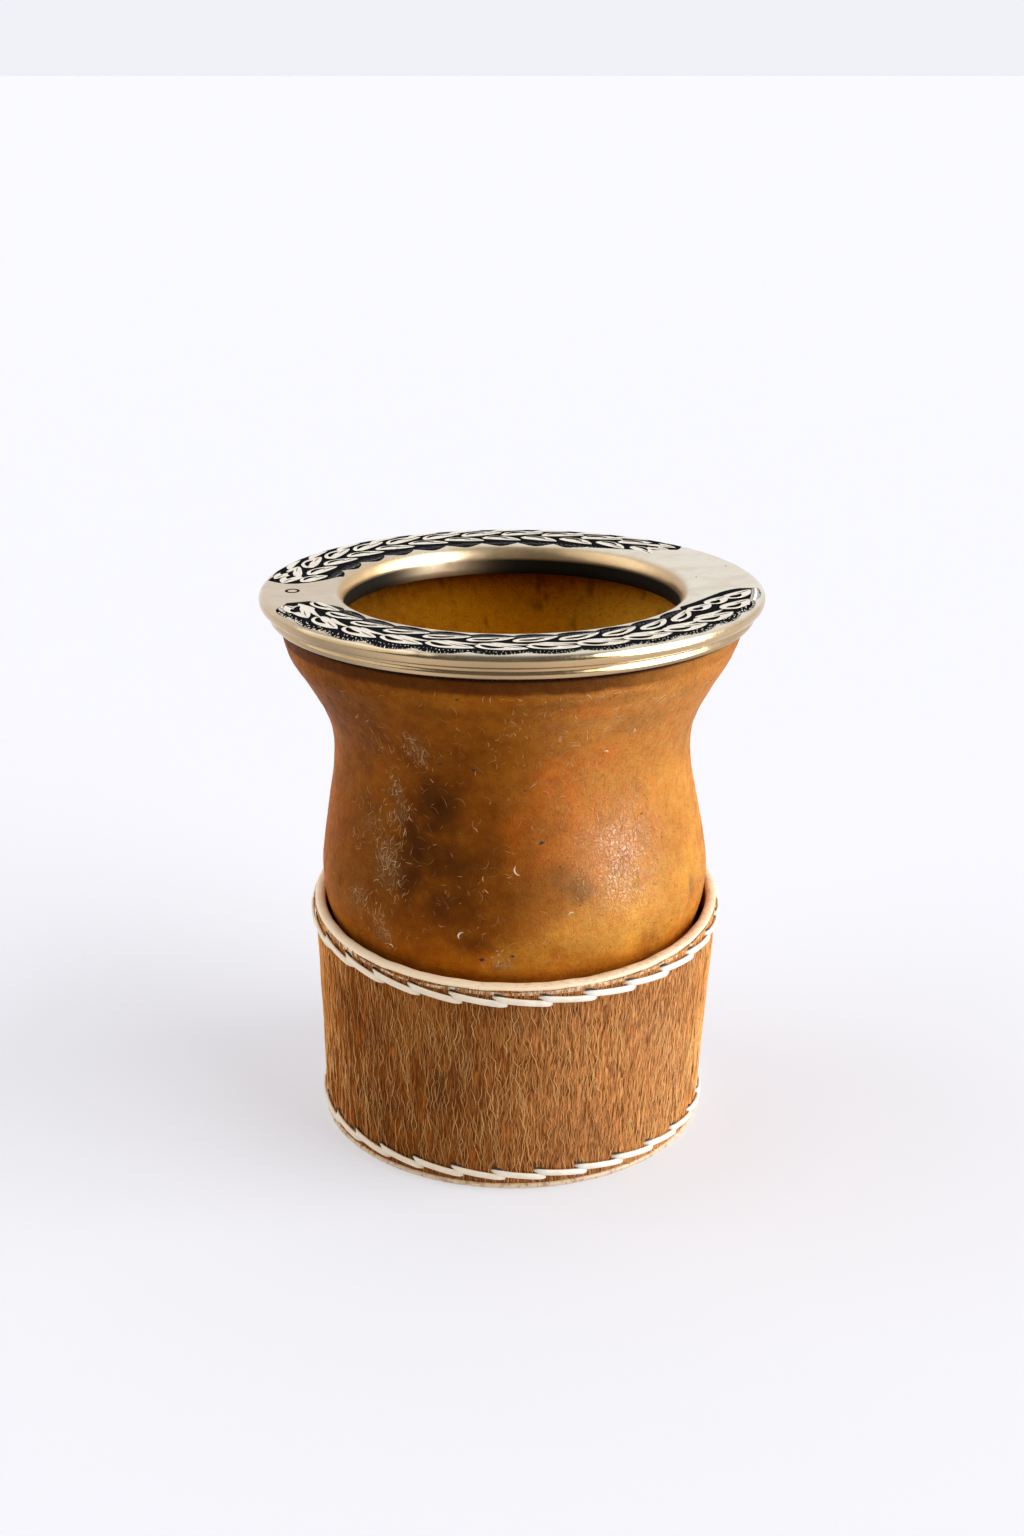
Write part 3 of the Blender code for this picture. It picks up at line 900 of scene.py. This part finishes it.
def add_slit(piece, leaf):
    """The black cut near a leaf's base."""
    length = leaf[5]
    share = np.linspace(0.0, 1.0, 9)
    u = 0.12 + 1.15 * length * share
    v = 0.1 + 0.24 * np.sin(math.pi * share)
    azimuth, radius = leaf_track(leaf, u, v)
    widest = (0.09 + 0.24 * leaf[4]) * 0.42 / length
    width = widest * np.sin(math.pi * (0.04 + 0.92 * share**0.8)) ** 0.8
    strokes(piece, on_rim, azimuth, radius, leaf_height(u, v) + 0.03, width, 0.04)
    u = np.linspace(0.5, 0.9, 9)
    v = -0.35 + 0.2 * share
    azimuth, radius = leaf_track(leaf, u, v)
    width = 0.05 * leaf[4] * np.sin(math.pi * (0.04 + 0.92 * share))
    strokes(piece, on_rim, azimuth, radius, leaf_height(u, v) + 0.03, width, 0.03)


CHASED_BRIGHT = (0.9, 0.85, 0.74)
CHASED_GREY = (0.08, 0.08, 0.078)
BLACKENED = (0.01, 0.01, 0.011)


def straight(start, end, stations=3):
    """Paths from arrays of start to end places, one row each."""
    share = np.linspace(0.0, 1.0, stations)
    return start[:, None] + (end - start)[:, None] * share


def add_hatching(piece, azimuth, inner, outer, turn, width, height, tone):
    """Short chased strokes across the band, tapered at both ends."""
    first = straight(azimuth, azimuth + turn)
    second = straight(inner, outer)
    taper = np.array([0.4, 1.0, 0.5])
    tones = np.broadcast_to(np.array(tone), (len(azimuth), 3))
    strokes(piece, on_rim, first, second, -RECESS, np.asarray(width)[..., None] * taper, height, tone=tones)


METAL_PALE = (0.86, 0.77, 0.59)
METAL_WARM = (0.75, 0.63, 0.43)
METAL_PAINTED_SHADE_TAN = (0.56, 0.38, 0.19)
METAL_DULL_AND_PAINTED_SHADE = (0.012, 0.011, 0.008)


def rim_metal():
    shader = Shader("rim_metal", roughness=0.17, metallic=1.0)
    depth = shader.attribute("ground")
    dull = shader.attribute("dull")
    clouds = shader.noise(0.14, detail=5.0, roughness=0.6)
    fine = shader.noise(1.8, detail=4.0)
    warm = shader.mix(shader.band(clouds, 0.4, 0.72), METAL_PALE, METAL_WARM)
    # The tan share is painted shade.
    warm = shader.mix(shader.attribute("tan"), warm, METAL_PAINTED_SHADE_TAN)
    # The collar is dull; the same share carries painted shade, dark bands that stand in for dark
    # reflections.
    warm = shader.mix(dull, warm, METAL_DULL_AND_PAINTED_SHADE)
    black = shader.band(depth, -0.03, 0.07)
    shader.set("Base Color", shader.mix(black, warm, BLACKENED))
    shade = shader.most(black, shader.times(dull, 0.85))
    shader.set("Specular Tint", shader.mix(shade, (1.0, 1.0, 1.0), (0.0, 0.0, 0.0)))
    coated = shader.most(black, shader.times(dull, 0.7))
    shader.set("Metallic", shader.minus(1.0, coated))
    shader.set("Specular IOR Level", shader.minus(0.5, shader.times(black, 0.5)))
    rough = shader.band(fine, 0.3, 0.75, 0.12, 0.22)
    rough = shader.plus(rough, shader.times(shader.attribute("soft"), 0.2))
    rough = shader.plus(rough, shader.times(black, 0.3))
    rough = shader.plus(rough, shader.times(dull, 0.16))
    shader.set("Roughness", rough)
    waves = shader.noise(0.12, detail=2.0)
    shader.set("Normal", shader.bump(waves, 0.25))
    return shader.material


LEAF_PALE = (1.0, 0.92, 0.75)
LEAF_WARM = (0.95, 0.83, 0.62)


def leaf_metal():
    shader = Shader("leaf_metal", roughness=0.24, metallic=1.0)
    tint = shader.noise(0.5, detail=3.0)
    color = shader.mix(shader.band(tint, 0.4, 0.66), LEAF_PALE, LEAF_WARM)
    wall = shader.band(shader.attribute("ground"), 0.0, 0.12)
    shader.set("Base Color", shader.mix(wall, color, BLACKENED))
    shader.set("Metallic", shader.minus(1.0, wall))
    shader.set("Specular IOR Level", shader.minus(0.5, shader.times(wall, 0.5)))
    return shader.material


def chased_metal():
    shader = Shader("chased_metal", roughness=0.3, metallic=1.0)
    shader.set("Base Color", shader.attribute("tone", "Color"))
    return shader.material


def patina():
    shader = Shader("black_patina", roughness=0.6, color=(0.01, 0.009, 0.008))
    shader.set("Specular IOR Level", 0.0)
    return shader.material


RIM_AROUND = 840
FACE_STEP = 0.21


def rim_section():
    """Closed (radius, height) section, up the throat, over the face and down the outside."""
    rise = TOP_HEIGHT - THROAT_EDGE
    throat = arc((SHOULDER_RADIUS, THROAT_EDGE), (THROAT_RADIUS - SHOULDER_RADIUS, rise), 0.0, 90.0, 14)
    radius = np.arange(SHOULDER_RADIUS + 0.2, ROLL_CENTER + 0.6, FACE_STEP)
    face = np.stack([radius, rim_top(radius)], 1)
    roll = arc((ROLL_CENTER, ROLL_HEIGHT), (ROLL_RADIUS, ROLL_RADIUS), 58.0, -75.0, 15)
    bead = arc(BEAD_CENTER, (BEAD_RADIUS, BEAD_RADIUS), 50.0, -90.0, 9)
    hidden = [
        (SKIRT_INNER, BEAD_CENTER[1] - BEAD_RADIUS),
        (SKIRT_INNER, PLATE_UNDERSIDE),
        (THROAT_RADIUS + COLLAR_WALL, PLATE_UNDERSIDE),
        (THROAT_RADIUS + COLLAR_WALL, COLLAR_BOTTOM),
        (THROAT_RADIUS + 0.2, COLLAR_BOTTOM),
        (THROAT_RADIUS, COLLAR_BOTTOM + 0.2),
        (THROAT_RADIUS, COLLAR_BOTTOM + 1.4),
    ]
    groove = [(GROOVE[0] + 0.15, GROOVE[1] + 0.2), GROOVE, (GROOVE[0] + 0.05, GROOVE[1] - 0.22)]
    return np.concatenate([throat, face, roll, groove, bead, hidden])


def make_rim():
    piece = Piece("rim_ring")
    section = rim_section()
    azimuth = np.arange(RIM_AROUND) * 360.0 / RIM_AROUND
    around, radius = np.meshgrid(azimuth, section[:, 0])
    height = np.repeat(section[:, 1:2], RIM_AROUND, 1)
    depth = ground_depth(around, radius)
    on_face = np.abs(height - rim_top(radius)) < 0.05
    depth = np.where(on_face, depth, -1.0)
    sunk = height - RECESS * ramp(depth, 0.0, 0.3)
    in_throat = ramp(THROAT_EDGE - height, -0.8, -0.1) * (radius < SHOULDER_RADIUS)
    points = cylinder_points(around, radius, sunk)
    # Painted shade: the metal below the top face and round the left side is given a darker tan.
    tan = 0.9 * ramp(TOP_HEIGHT - height, 0.0, 0.7)
    tan = np.maximum(tan, 0.6 * ramp(toward(around, 180.0), 0.0, 1.0))
    soft = ramp(TOP_HEIGHT - height, 0.0, 0.7) * (radius < SHOULDER_RADIUS)
    # Painted highlight: at azimuth 117 the collar is made paler and less dull so that it shows a glint.
    painted_glint = near(around, 117.0, 13.0)
    tan = tan * (1.0 - 0.7 * painted_glint)
    dull = in_throat * (1.0 - 0.8 * painted_glint)
    outside = (radius > SKIRT_INNER + 0.2) & (height < TOP_HEIGHT)
    # Painted shade: dark bands on the far shoulder and on the outer edge at the front left stand in for dark
    # reflections; a darker bead at the right tones down a highlight.
    for middle, spread, strength, where in (
        (101.0, 8.0, 0.3, soft),
        (228.0, 13.0, 0.35, outside),
        (266.0, 12.0, 0.25, outside),
        (312.0, 22.0, 0.35, outside & (height < GROOVE[1])),
    ):
        dull = np.maximum(dull, strength * near(around, middle, spread) * where)
    piece.grid(points, wrap_rows=True, wrap_columns=True, ground=depth, dull=dull, tan=tan, soft=soft)
    piece.build(rim_metal(), "rim_metal", "rim")


def make_garlands():
    leaves = Piece("rim_leaves")
    slits = Piece("rim_slits")
    lines = Piece("rim_chased_lines")
    for leaf in leaf_layout():
        add_leaf(leaves, leaf)
        if leaf[5] > 0.0:
            add_slit(slits, leaf)
    random = np.random.default_rng(11)

    azimuth = np.arange(206.0, 354.0, 0.85)
    azimuth = azimuth + random.uniform(-0.3, 0.3, len(azimuth))
    edge = front_edge(azimuth)
    inner = edge - random.uniform(0.3, 0.75, len(azimuth))
    add_hatching(lines, azimuth, inner, edge + 0.08, random.uniform(-0.1, 0.3, len(azimuth)),
                 random.uniform(0.06, 0.13, len(azimuth)), 0.15, CHASED_BRIGHT)

    azimuth = np.arange(204.0, 352.0, 0.9)
    azimuth = azimuth + random.uniform(-0.3, 0.3, len(azimuth))
    inner = 44.9 + random.uniform(-0.2, 0.7, len(azimuth))
    add_hatching(lines, azimuth, inner, inner + random.uniform(0.12, 0.3, len(azimuth)),
                 random.uniform(-0.25, 0.25, len(azimuth)), 0.1, 0.12, CHASED_BRIGHT)

    for azimuth, inner, outer, turn, width in (
        (np.arange(345.0, 356.0, 0.62), 44.9, 46.2, 1.0, 0.13),
        (np.arange(199.4, 206.0, 0.7), 44.5, 45.7, -0.7, 0.12),
    ):
        full = np.ones(len(azimuth))
        add_hatching(lines, azimuth, inner * full, outer * full, turn, width, 0.15, CHASED_BRIGHT)

    azimuth = np.concatenate([np.arange(201.0, 330.0, 0.5), np.arange(42.0, 174.0, 0.55)])
    front = azimuth > 190.0
    inner = np.where(front, 34.6, 34.0) + random.uniform(-0.1, 0.4, len(azimuth))
    add_hatching(lines, azimuth, inner, inner + random.uniform(1.0, 1.9, len(azimuth)),
                 np.where(front, -1.2, 1.2), 0.09, 0.06, CHASED_GREY)

    leaves.build(leaf_metal(), "rim_metal")
    slits.build(patina(), "rim_metal")
    lines.build(chased_metal(), "rim_metal")


def make_rim_marks():
    """The plain oval punch mark on the left and two tiny pits on the right."""
    marks = Piece("rim_marks")
    turn = np.radians(np.linspace(0.0, 360.0, 25))
    azimuth = 187.0 + np.degrees(1.25 * np.sin(turn) / 41.2)
    strokes(marks, on_rim, azimuth, 41.2 + 1.15 * np.cos(turn), 0.02, 0.25, 0.03)
    for azimuth, radius, size in ((9.8, 35.8, 0.16), (19.0, 44.2, 0.15), (12.0, 39.0, 0.08)):
        x = np.linspace(-size, size, 5)
        width = 0.9 * np.sqrt(np.maximum(size**2 - x**2, 0.0002))
        strokes(marks, on_rim, azimuth + np.degrees(x / radius), radius, 0.02, width, 0.03)
    marks.build(patina(), "rim_metal")


def sleeve_radius(level):
    return SLEEVE_FOOT_RADIUS + SLEEVE_FLARE * (np.clip(level, 0.0, None) / SLEEVE_TOP) ** SLEEVE_FLARE_POWER


def on_sleeve(azimuth, level, lift):
    """A point lifted off the sleeve's outer surface. Level lines tilt with the top edge."""
    radius = sleeve_radius(level) + lift
    angle = np.radians(azimuth)
    y = radius * np.sin(angle)
    x = radius * np.cos(angle) + SLEEVE_SHIFT * ramp(level, 0.0, SLEEVE_SHIFT_HEIGHT)
    z = level + SLEEVE_SLOPE * y * (level - SLEEVE_BOTTOM) / (SLEEVE_TOP - SLEEVE_BOTTOM)
    return np.stack([x, y, z + 0.0 * x], -1)


HIDE_AROUND = 420
HIDE_UP = 70
HIDE_BROWN = (0.46, 0.128, 0.013)
HIDE_DARK = (0.15, 0.036, 0.002)
HIDE_GOLD = (0.64, 0.26, 0.055)
HIDE_CREAM = (0.99, 0.55, 0.2)
HIDE_PALEST = (0.99, 0.68, 0.36)
HIDE_PAINTED_LIGHT = (0.93, 0.53, 0.22)


# Painted light from the key on the right.
def hide_painted_key_light(azimuth):
    return (0.5 + 0.5 * toward(azimuth, 314.0)) ** 10


def hide_painted_light_and_shade(azimuth):
    """Painted light and shade on the hide: lighter round the right and the far left, darker at the front
    left.
    """
    left = 0.5 + 0.5 * toward(azimuth, 200.0)
    dark = 0.5 + 0.5 * toward(azimuth, 252.0)
    return 1.0 + 0.3 * left**8 + 0.8 * hide_painted_key_light(azimuth) - 0.3 * dark**3


def hide_material():
    shader = Shader("hide", roughness=0.7)
    shader.set("Specular IOR Level", 0.05)
    tone = shader.attribute("tone", "Color")
    fibre = shader.noise(2.1, detail=4.0, distortion=0.9, vector=shader.stretch(1.0, 1.0, 0.16))
    strong = shader.noise(1.1, detail=3.0, distortion=1.2, vector=shader.stretch(1.0, 1.0, 0.13))
    color = shader.mix(shader.band(fibre, 0.4, 0.58, 0.0, 0.85), tone, HIDE_DARK)
    color = shader.mix(shader.band(strong, 0.55, 0.72, 0.0, 0.5), color, HIDE_GOLD)
    shader.set("Base Color", color)
    height = shader.minus(shader.times(strong, 1.3), fibre)
    shader.set("Normal", shader.bump(height, 0.3))
    return shader.material


def make_hide():
    piece = Piece("hide_body")
    azimuth = np.arange(HIDE_AROUND) * 360.0 / HIDE_AROUND
    outer_level = np.linspace(1.0, SLEEVE_TOP - 0.7, HIDE_UP)
    inner_level = np.linspace(SLEEVE_TOP - 0.7, 1.3, 8)
    around, level = np.meshgrid(azimuth, outer_level)
    bulge = 0.12 * cloud(on_sleeve(around, level, 0.0), (6.0, 6.0, 12.0), 2, seed=31)
    outer = on_sleeve(around, level, bulge)
    around_in, level_in = np.meshgrid(azimuth, inner_level)
    inner = on_sleeve(around_in, level_in, -SLEEVE_WALL)
    points = np.concatenate([outer, inner])
    patchy = cloud(points, 14.0, 3, seed=33)
    tone = blend(HIDE_BROWN, HIDE_GOLD, 0.35 * ramp(patchy, 0.0, 0.6))
    tone = blend(tone, HIDE_DARK, 0.35 * ramp(-patchy, 0.1, 0.7))
    around = np.concatenate([around, around_in])
    # Painted light and shade round the sleeve.
    tone = np.minimum(tone * hide_painted_light_and_shade(around)[..., None], HIDE_PALEST)
    tone = blend(tone, HIDE_PAINTED_LIGHT, 0.6 * hide_painted_key_light(around))
    piece.grid(points[::-1], wrap_rows=True, wrap_columns=True, tone=tone[::-1])
    piece.build(hide_material(), "hide", "hide_sleeve")


def hair_paths(random, azimuth, level, length, kink, lean, widths, taper):
    """Paths that run down the sleeve and wander sideways, with their half widths."""
    count = len(azimuth)
    share = np.linspace(0.0, 1.0, len(taper))
    length = length[:, None]
    kink = random.uniform(*kink, count)[:, None]
    lean = random.normal(0.0, lean, count)[:, None]
    wander = np.zeros((count, len(taper)))
    for wave in (2.6, 5.2):
        phase = random.uniform(0.0, TAU, count)[:, None]
        stretch = random.uniform(0.8, 1.25, count)[:, None]
        wander = wander + np.sin(phase + share * length * stretch * TAU / wave) * wave / 5.2
    sideways = kink * wander + lean * share * length
    azimuth = azimuth[:, None] + np.degrees(sideways / 38.5)
    width = random.uniform(*widths, count)[:, None] * np.asarray(taper)
    return azimuth, level[:, None] - length * share, width


def hair_tone(random, here, pale):
    """Colours for hairs: brown to gold by patches, some of them pale, with painted light and shade round the
    sleeve.
    """
    patchy = cloud(here, 12.0, 2, seed=41) + random.normal(0.0, 0.3, len(here))
    tone = blend(HIDE_BROWN, HIDE_DARK, 0.8 * ramp(-patchy, 0.0, 0.6))
    tone = blend(tone, HIDE_GOLD, ramp(patchy, -0.1, 0.5))
    azimuth = np.degrees(np.arctan2(here[:, 1], here[:, 0]))
    tone = np.minimum(blend(tone, HIDE_CREAM, pale) * hide_painted_light_and_shade(azimuth)[:, None], HIDE_PALEST)
    return blend(tone, HIDE_PAINTED_LIGHT, 0.55 * hide_painted_key_light(azimuth))


UNDERCOAT_COUNT = 7900
PALE_COUNT = 3100
FRINGE_COUNT = 1900


def make_undercoat(random, material):
    """A dense brown coat that lies on the hide."""
    piece = Piece("hair_undercoat")
    count = UNDERCOAT_COUNT
    azimuth = random.uniform(0.0, 360.0, count)
    level = random.uniform(3.0, SLEEVE_TOP - 1.4, count)
    length = np.minimum(random.uniform(2.5, 6.0, count), level - 0.6)
    here = on_sleeve(azimuth, level, 0.0)
    taper = [0.5, 1.0, 0.9, 0.3]
    paths = hair_paths(random, azimuth, level, length, (0.02, 0.14), 0.1, (0.05, 0.11), taper)
    first, second, width = paths
    lift = random.uniform(-0.02, 0.14, count)[:, None]
    tone = hair_tone(random, here, 0.25 * random.uniform(0.0, 1.0, count) ** 3)
    strokes(piece, on_sleeve, first, second, lift, width, width * 1.2, tone=tone)
    piece.build(material, "hide")


def make_pale_hairs(random, material):
    """Sparser, longer and paler wavy hairs."""
    piece = Piece("hair_pale")
    count = PALE_COUNT
    azimuth = random.uniform(0.0, 360.0, count)
    level = random.uniform(3.5, SLEEVE_TOP - 1.7, count)
    length = np.minimum(random.gamma(4.0, 1.25, count) + 1.2, level - 0.6)
    here = on_sleeve(azimuth, level, 0.0)
    taper = np.sin(math.pi * np.linspace(0.08, 0.95, 9)) ** 0.6
    paths = hair_paths(random, azimuth, level, length, (0.1, 0.32), 0.13, (0.04, 0.095), taper)
    first, second, width = paths
    bright = 0.35 + 0.65 * random.uniform(0.0, 1.0, count)
    lit = 0.55 + 0.45 * ramp(cloud(here, 16.0, 2, seed=43), -0.4, 0.3)
    tone = hair_tone(random, here, bright * lit)
    lift = random.uniform(0.08, 0.2, count)[:, None]
    strokes(piece, on_sleeve, first, second, lift, width, width * 1.5, tone=tone)
    piece.build(material, "hide")


def make_fringe(random, material):
    """Short hairs that overhang the tan cut edge."""
    piece = Piece("hair_fringe")
    count = FRINGE_COUNT
    azimuth = random.uniform(0.0, 360.0, count)
    level = SLEEVE_TOP - 1.0 + random.uniform(-0.8, 0.45, count)
    length = random.uniform(0.6, 2.2, count)
    taper = [0.8, 1.0, 0.8, 0.2]
    paths = hair_paths(random, azimuth, level, length, (0.0, 0.1), 0.16, (0.04, 0.1), taper)
    first, second, width = paths
    here = on_sleeve(azimuth, level, 0.0)
    tone = hair_tone(random, here, 0.8 * random.uniform(0.0, 1.0, count) ** 2)
    strokes(piece, on_sleeve, first, second, 0.1, width, width * 1.3, tone=tone)
    piece.build(material, "hide")


def make_hair():
    random = np.random.default_rng(23)
    material = toned_material("hair", 0.5, 0.06)
    make_undercoat(random, material)
    make_pale_hairs(random, material)
    make_fringe(random, material)


EDGE_PALE = (0.97, 0.74, 0.47)
EDGE_TAN = (0.87, 0.61, 0.37)
EDGE_LINE = (0.45, 0.25, 0.11)
EDGE_OUTER_AND_PAINTED_LIGHT = (1.0, 0.8, 0.54)


def edge_material():
    shader = Shader("cut_edge", roughness=0.6)
    lines = shader.noise(1.6, detail=4.0, vector=shader.stretch(0.5, 0.5, 3.0))
    blotch = shader.noise(0.25, detail=3.0)
    color = shader.mix(shader.band(blotch, 0.35, 0.65), EDGE_PALE, EDGE_TAN)
    color = shader.mix(shader.band(lines, 0.45, 0.7, 0.0, 0.45), color, EDGE_LINE)
    # The outer share is partly painted light round the left.
    color = shader.mix(shader.attribute("outer"), color, EDGE_OUTER_AND_PAINTED_LIGHT)
    shader.set("Base Color", color)
    shader.set("Normal", shader.bump(lines, 0.05))
    return shader.material


def make_cut_edge():
    """The hide's smooth tan edge, rounded over from the outside to the inner wall."""
    piece = Piece("hide_cut_edge")
    azimuth = np.arange(360) * 1.0
    half = 0.5 * SLEEVE_WALL
    section = arc((-half, SLEEVE_TOP - 0.55), (half + 0.06, 0.8), -25.0, 205.0, 15)
    under = [(0.3 - SLEEVE_WALL, SLEEVE_TOP - 1.9), (-0.3, SLEEVE_TOP - 1.9), (0.1, SLEEVE_TOP - 1.75)]
    section = np.concatenate([section, under])
    around, lift = np.meshgrid(azimuth, section[:, 0])
    level = np.repeat(section[:, 1:], len(azimuth), 1)
    wobble = 0.05 * np.sin(np.radians(37.0 * around)) + 0.05 * np.sin(np.radians(23.0 * around + 40.0))
    points = on_sleeve(around, level + wobble * (level > SLEEVE_TOP - 0.9), lift)
    # The outer face of the edge is paler, and round the left the edge gets painted light.
    outer = np.maximum(lift > -0.05, 0.8 * ramp(toward(around, 215.0), 0.3, 1.0))
    piece.grid(points[::-1], wrap_rows=True, wrap_columns=True, outer=outer[::-1])
    piece.build(edge_material(), "base_hide")


RAWHIDE_PALE = (0.95, 0.9, 0.8)
RAWHIDE_TAN = (0.88, 0.78, 0.62)
RAWHIDE_PAINTED_SHADE = (0.9, 0.72, 0.48)


def lace_material():
    shader = Shader("rawhide", roughness=0.4)
    grain = shader.noise(0.5, detail=3.0)
    color = shader.mix(shader.band(grain, 0.4, 0.72), RAWHIDE_PALE, RAWHIDE_TAN)
    shader.set("Base Color", shader.mix(shader.attribute("aged"), color, RAWHIDE_PAINTED_SHADE))
    shader.set("Subsurface Weight", 0.06)
    shader.set("Subsurface Radius", (0.002, 0.0014, 0.0008))
    return shader.material


STITCH_STATIONS = 16
HOLE_PAINTED_SHADE = (0.02, 0.01, 0.005)


def add_stitch(piece, index, row_level):
    """A flat rounded strip: narrow where it leaves its hole, square where it tucks under."""
    random = np.random.default_rng(500 + index + int(row_level * 10.0))
    pitch = 360.0 / STITCH_COUNT
    u = np.linspace(0.0, 1.0, STITCH_STATIONS)
    azimuth = (index + u * STITCH_OVERLAP + random.uniform(-0.02, 0.02)) * pitch
    rise = STITCH_DROP * (0.55 - u) + random.uniform(-0.03, 0.03)
    width = 0.5 * STITCH_WIDTH * (0.4 + 0.6 * ramp(u, 0.0, 0.14)) * random.uniform(0.97, 1.03)
    lift = STITCH_LIFT + 0.5 * STITCH_THICKNESS
    lift = lift - 0.75 * (1.0 - ramp(u, 0.0, 0.14)) - 0.55 * ramp(u, 0.9, 1.0) + 0.12 * np.sin(math.pi * u)
    half = 0.5 * STITCH_THICKNESS
    angle = np.radians(np.arange(0.0, 360.0, 30.0))
    across = np.sign(np.cos(angle)) * np.abs(np.cos(angle)) ** 0.55
    out = np.sign(np.sin(angle)) * np.abs(np.sin(angle)) ** 0.8
    azimuth, rise, width, lift = (part[:, None] for part in (azimuth, rise, width, lift))
    section = on_sleeve(azimuth, row_level + rise + width * across, lift + half * out)
    # Painted shade: the stitches round the left are warmer and darker.
    aged = np.repeat(0.7 * ramp(toward(azimuth, 215.0), 0.2, 1.0), len(angle), 1)
    piece.grid(section[:, ::-1], wrap_columns=True, caps=1, aged=aged)


def make_laces():
    material = lace_material()
    holes = Piece("lace_hole_shade")
    for name, node, row_level in (
        ("lace_strip_top", "lace_top", SLEEVE_TOP - TOP_ROW_INSET),
        ("lace_strip_bottom", "lace_bottom", BOTTOM_ROW_HEIGHT),
    ):
        piece = Piece(name)
        for index in range(STITCH_COUNT):
            add_stitch(piece, index, row_level)
            add_hole(holes, index, row_level)
        piece.build(material, "rawhide", node)
    holes.build(Shader("hole", roughness=0.9, color=HOLE_PAINTED_SHADE).material, "hide")


def add_hole(piece, index, row_level):
    """Painted shade: a small dark slit laid on the hide where a stitch comes out."""
    pitch = 360.0 / STITCH_COUNT
    u = np.linspace(0.0, 1.0, 6)
    azimuth = (index + 0.02 + 0.26 * u) * pitch
    level = row_level + STITCH_DROP * 0.55 + 0.75 - 0.45 * u
    wide = 0.3 * np.sin(math.pi * (0.06 + 0.88 * u))
    lift = np.array([0.12, 0.4, 0.12, -0.2])
    level = level[:, None] + wide[:, None] * np.array([1.0, 0.0, -1.0, 0.0])
    piece.grid(on_sleeve(azimuth[:, None], level, lift), wrap_columns=True, caps=-1)


SOLE_PALE = (0.78, 0.6, 0.4)
SOLE_DARK = (0.45, 0.26, 0.12)


def pale_edge_material():
    shader = Shader("base_edge", roughness=0.6)
    blotch = shader.noise(0.9, detail=4.0)
    color = shader.mix(shader.band(blotch, 0.45, 0.7), SOLE_PALE, SOLE_DARK)
    shader.set("Base Color", color)
    return shader.material


def make_base():
    """Sole leather disc under the sleeve, its pale edge just showing."""
    piece = Piece("base_sole")
    azimuth = np.arange(240) * 1.5
    edge = [(0.55, BASE_THICKNESS), (0.1, 1.0), (0.0, 0.75), (0.05, 0.4), (0.35, 0.12), (0.75, 0.0)]
    profile = [(BASE_RADIUS - inset, height) for inset, height in edge]
    profile = [(0.02, BASE_THICKNESS), *profile, (0.02, 0.0)]
    rows = [cylinder_points(azimuth, radius, height) for radius, height in profile]
    piece.grid(np.array(rows)[::-1], wrap_columns=True, caps=1)
    piece.build(pale_edge_material(), "base_hide", "base_disc")


make_camera()
make_studio()
make_surroundings()
make_gourd()
make_rim()
make_garlands()
make_rim_marks()
make_scuffs()
make_pits()
make_creases()
make_hide()
make_hair()
make_cut_edge()
make_laces()
make_base()
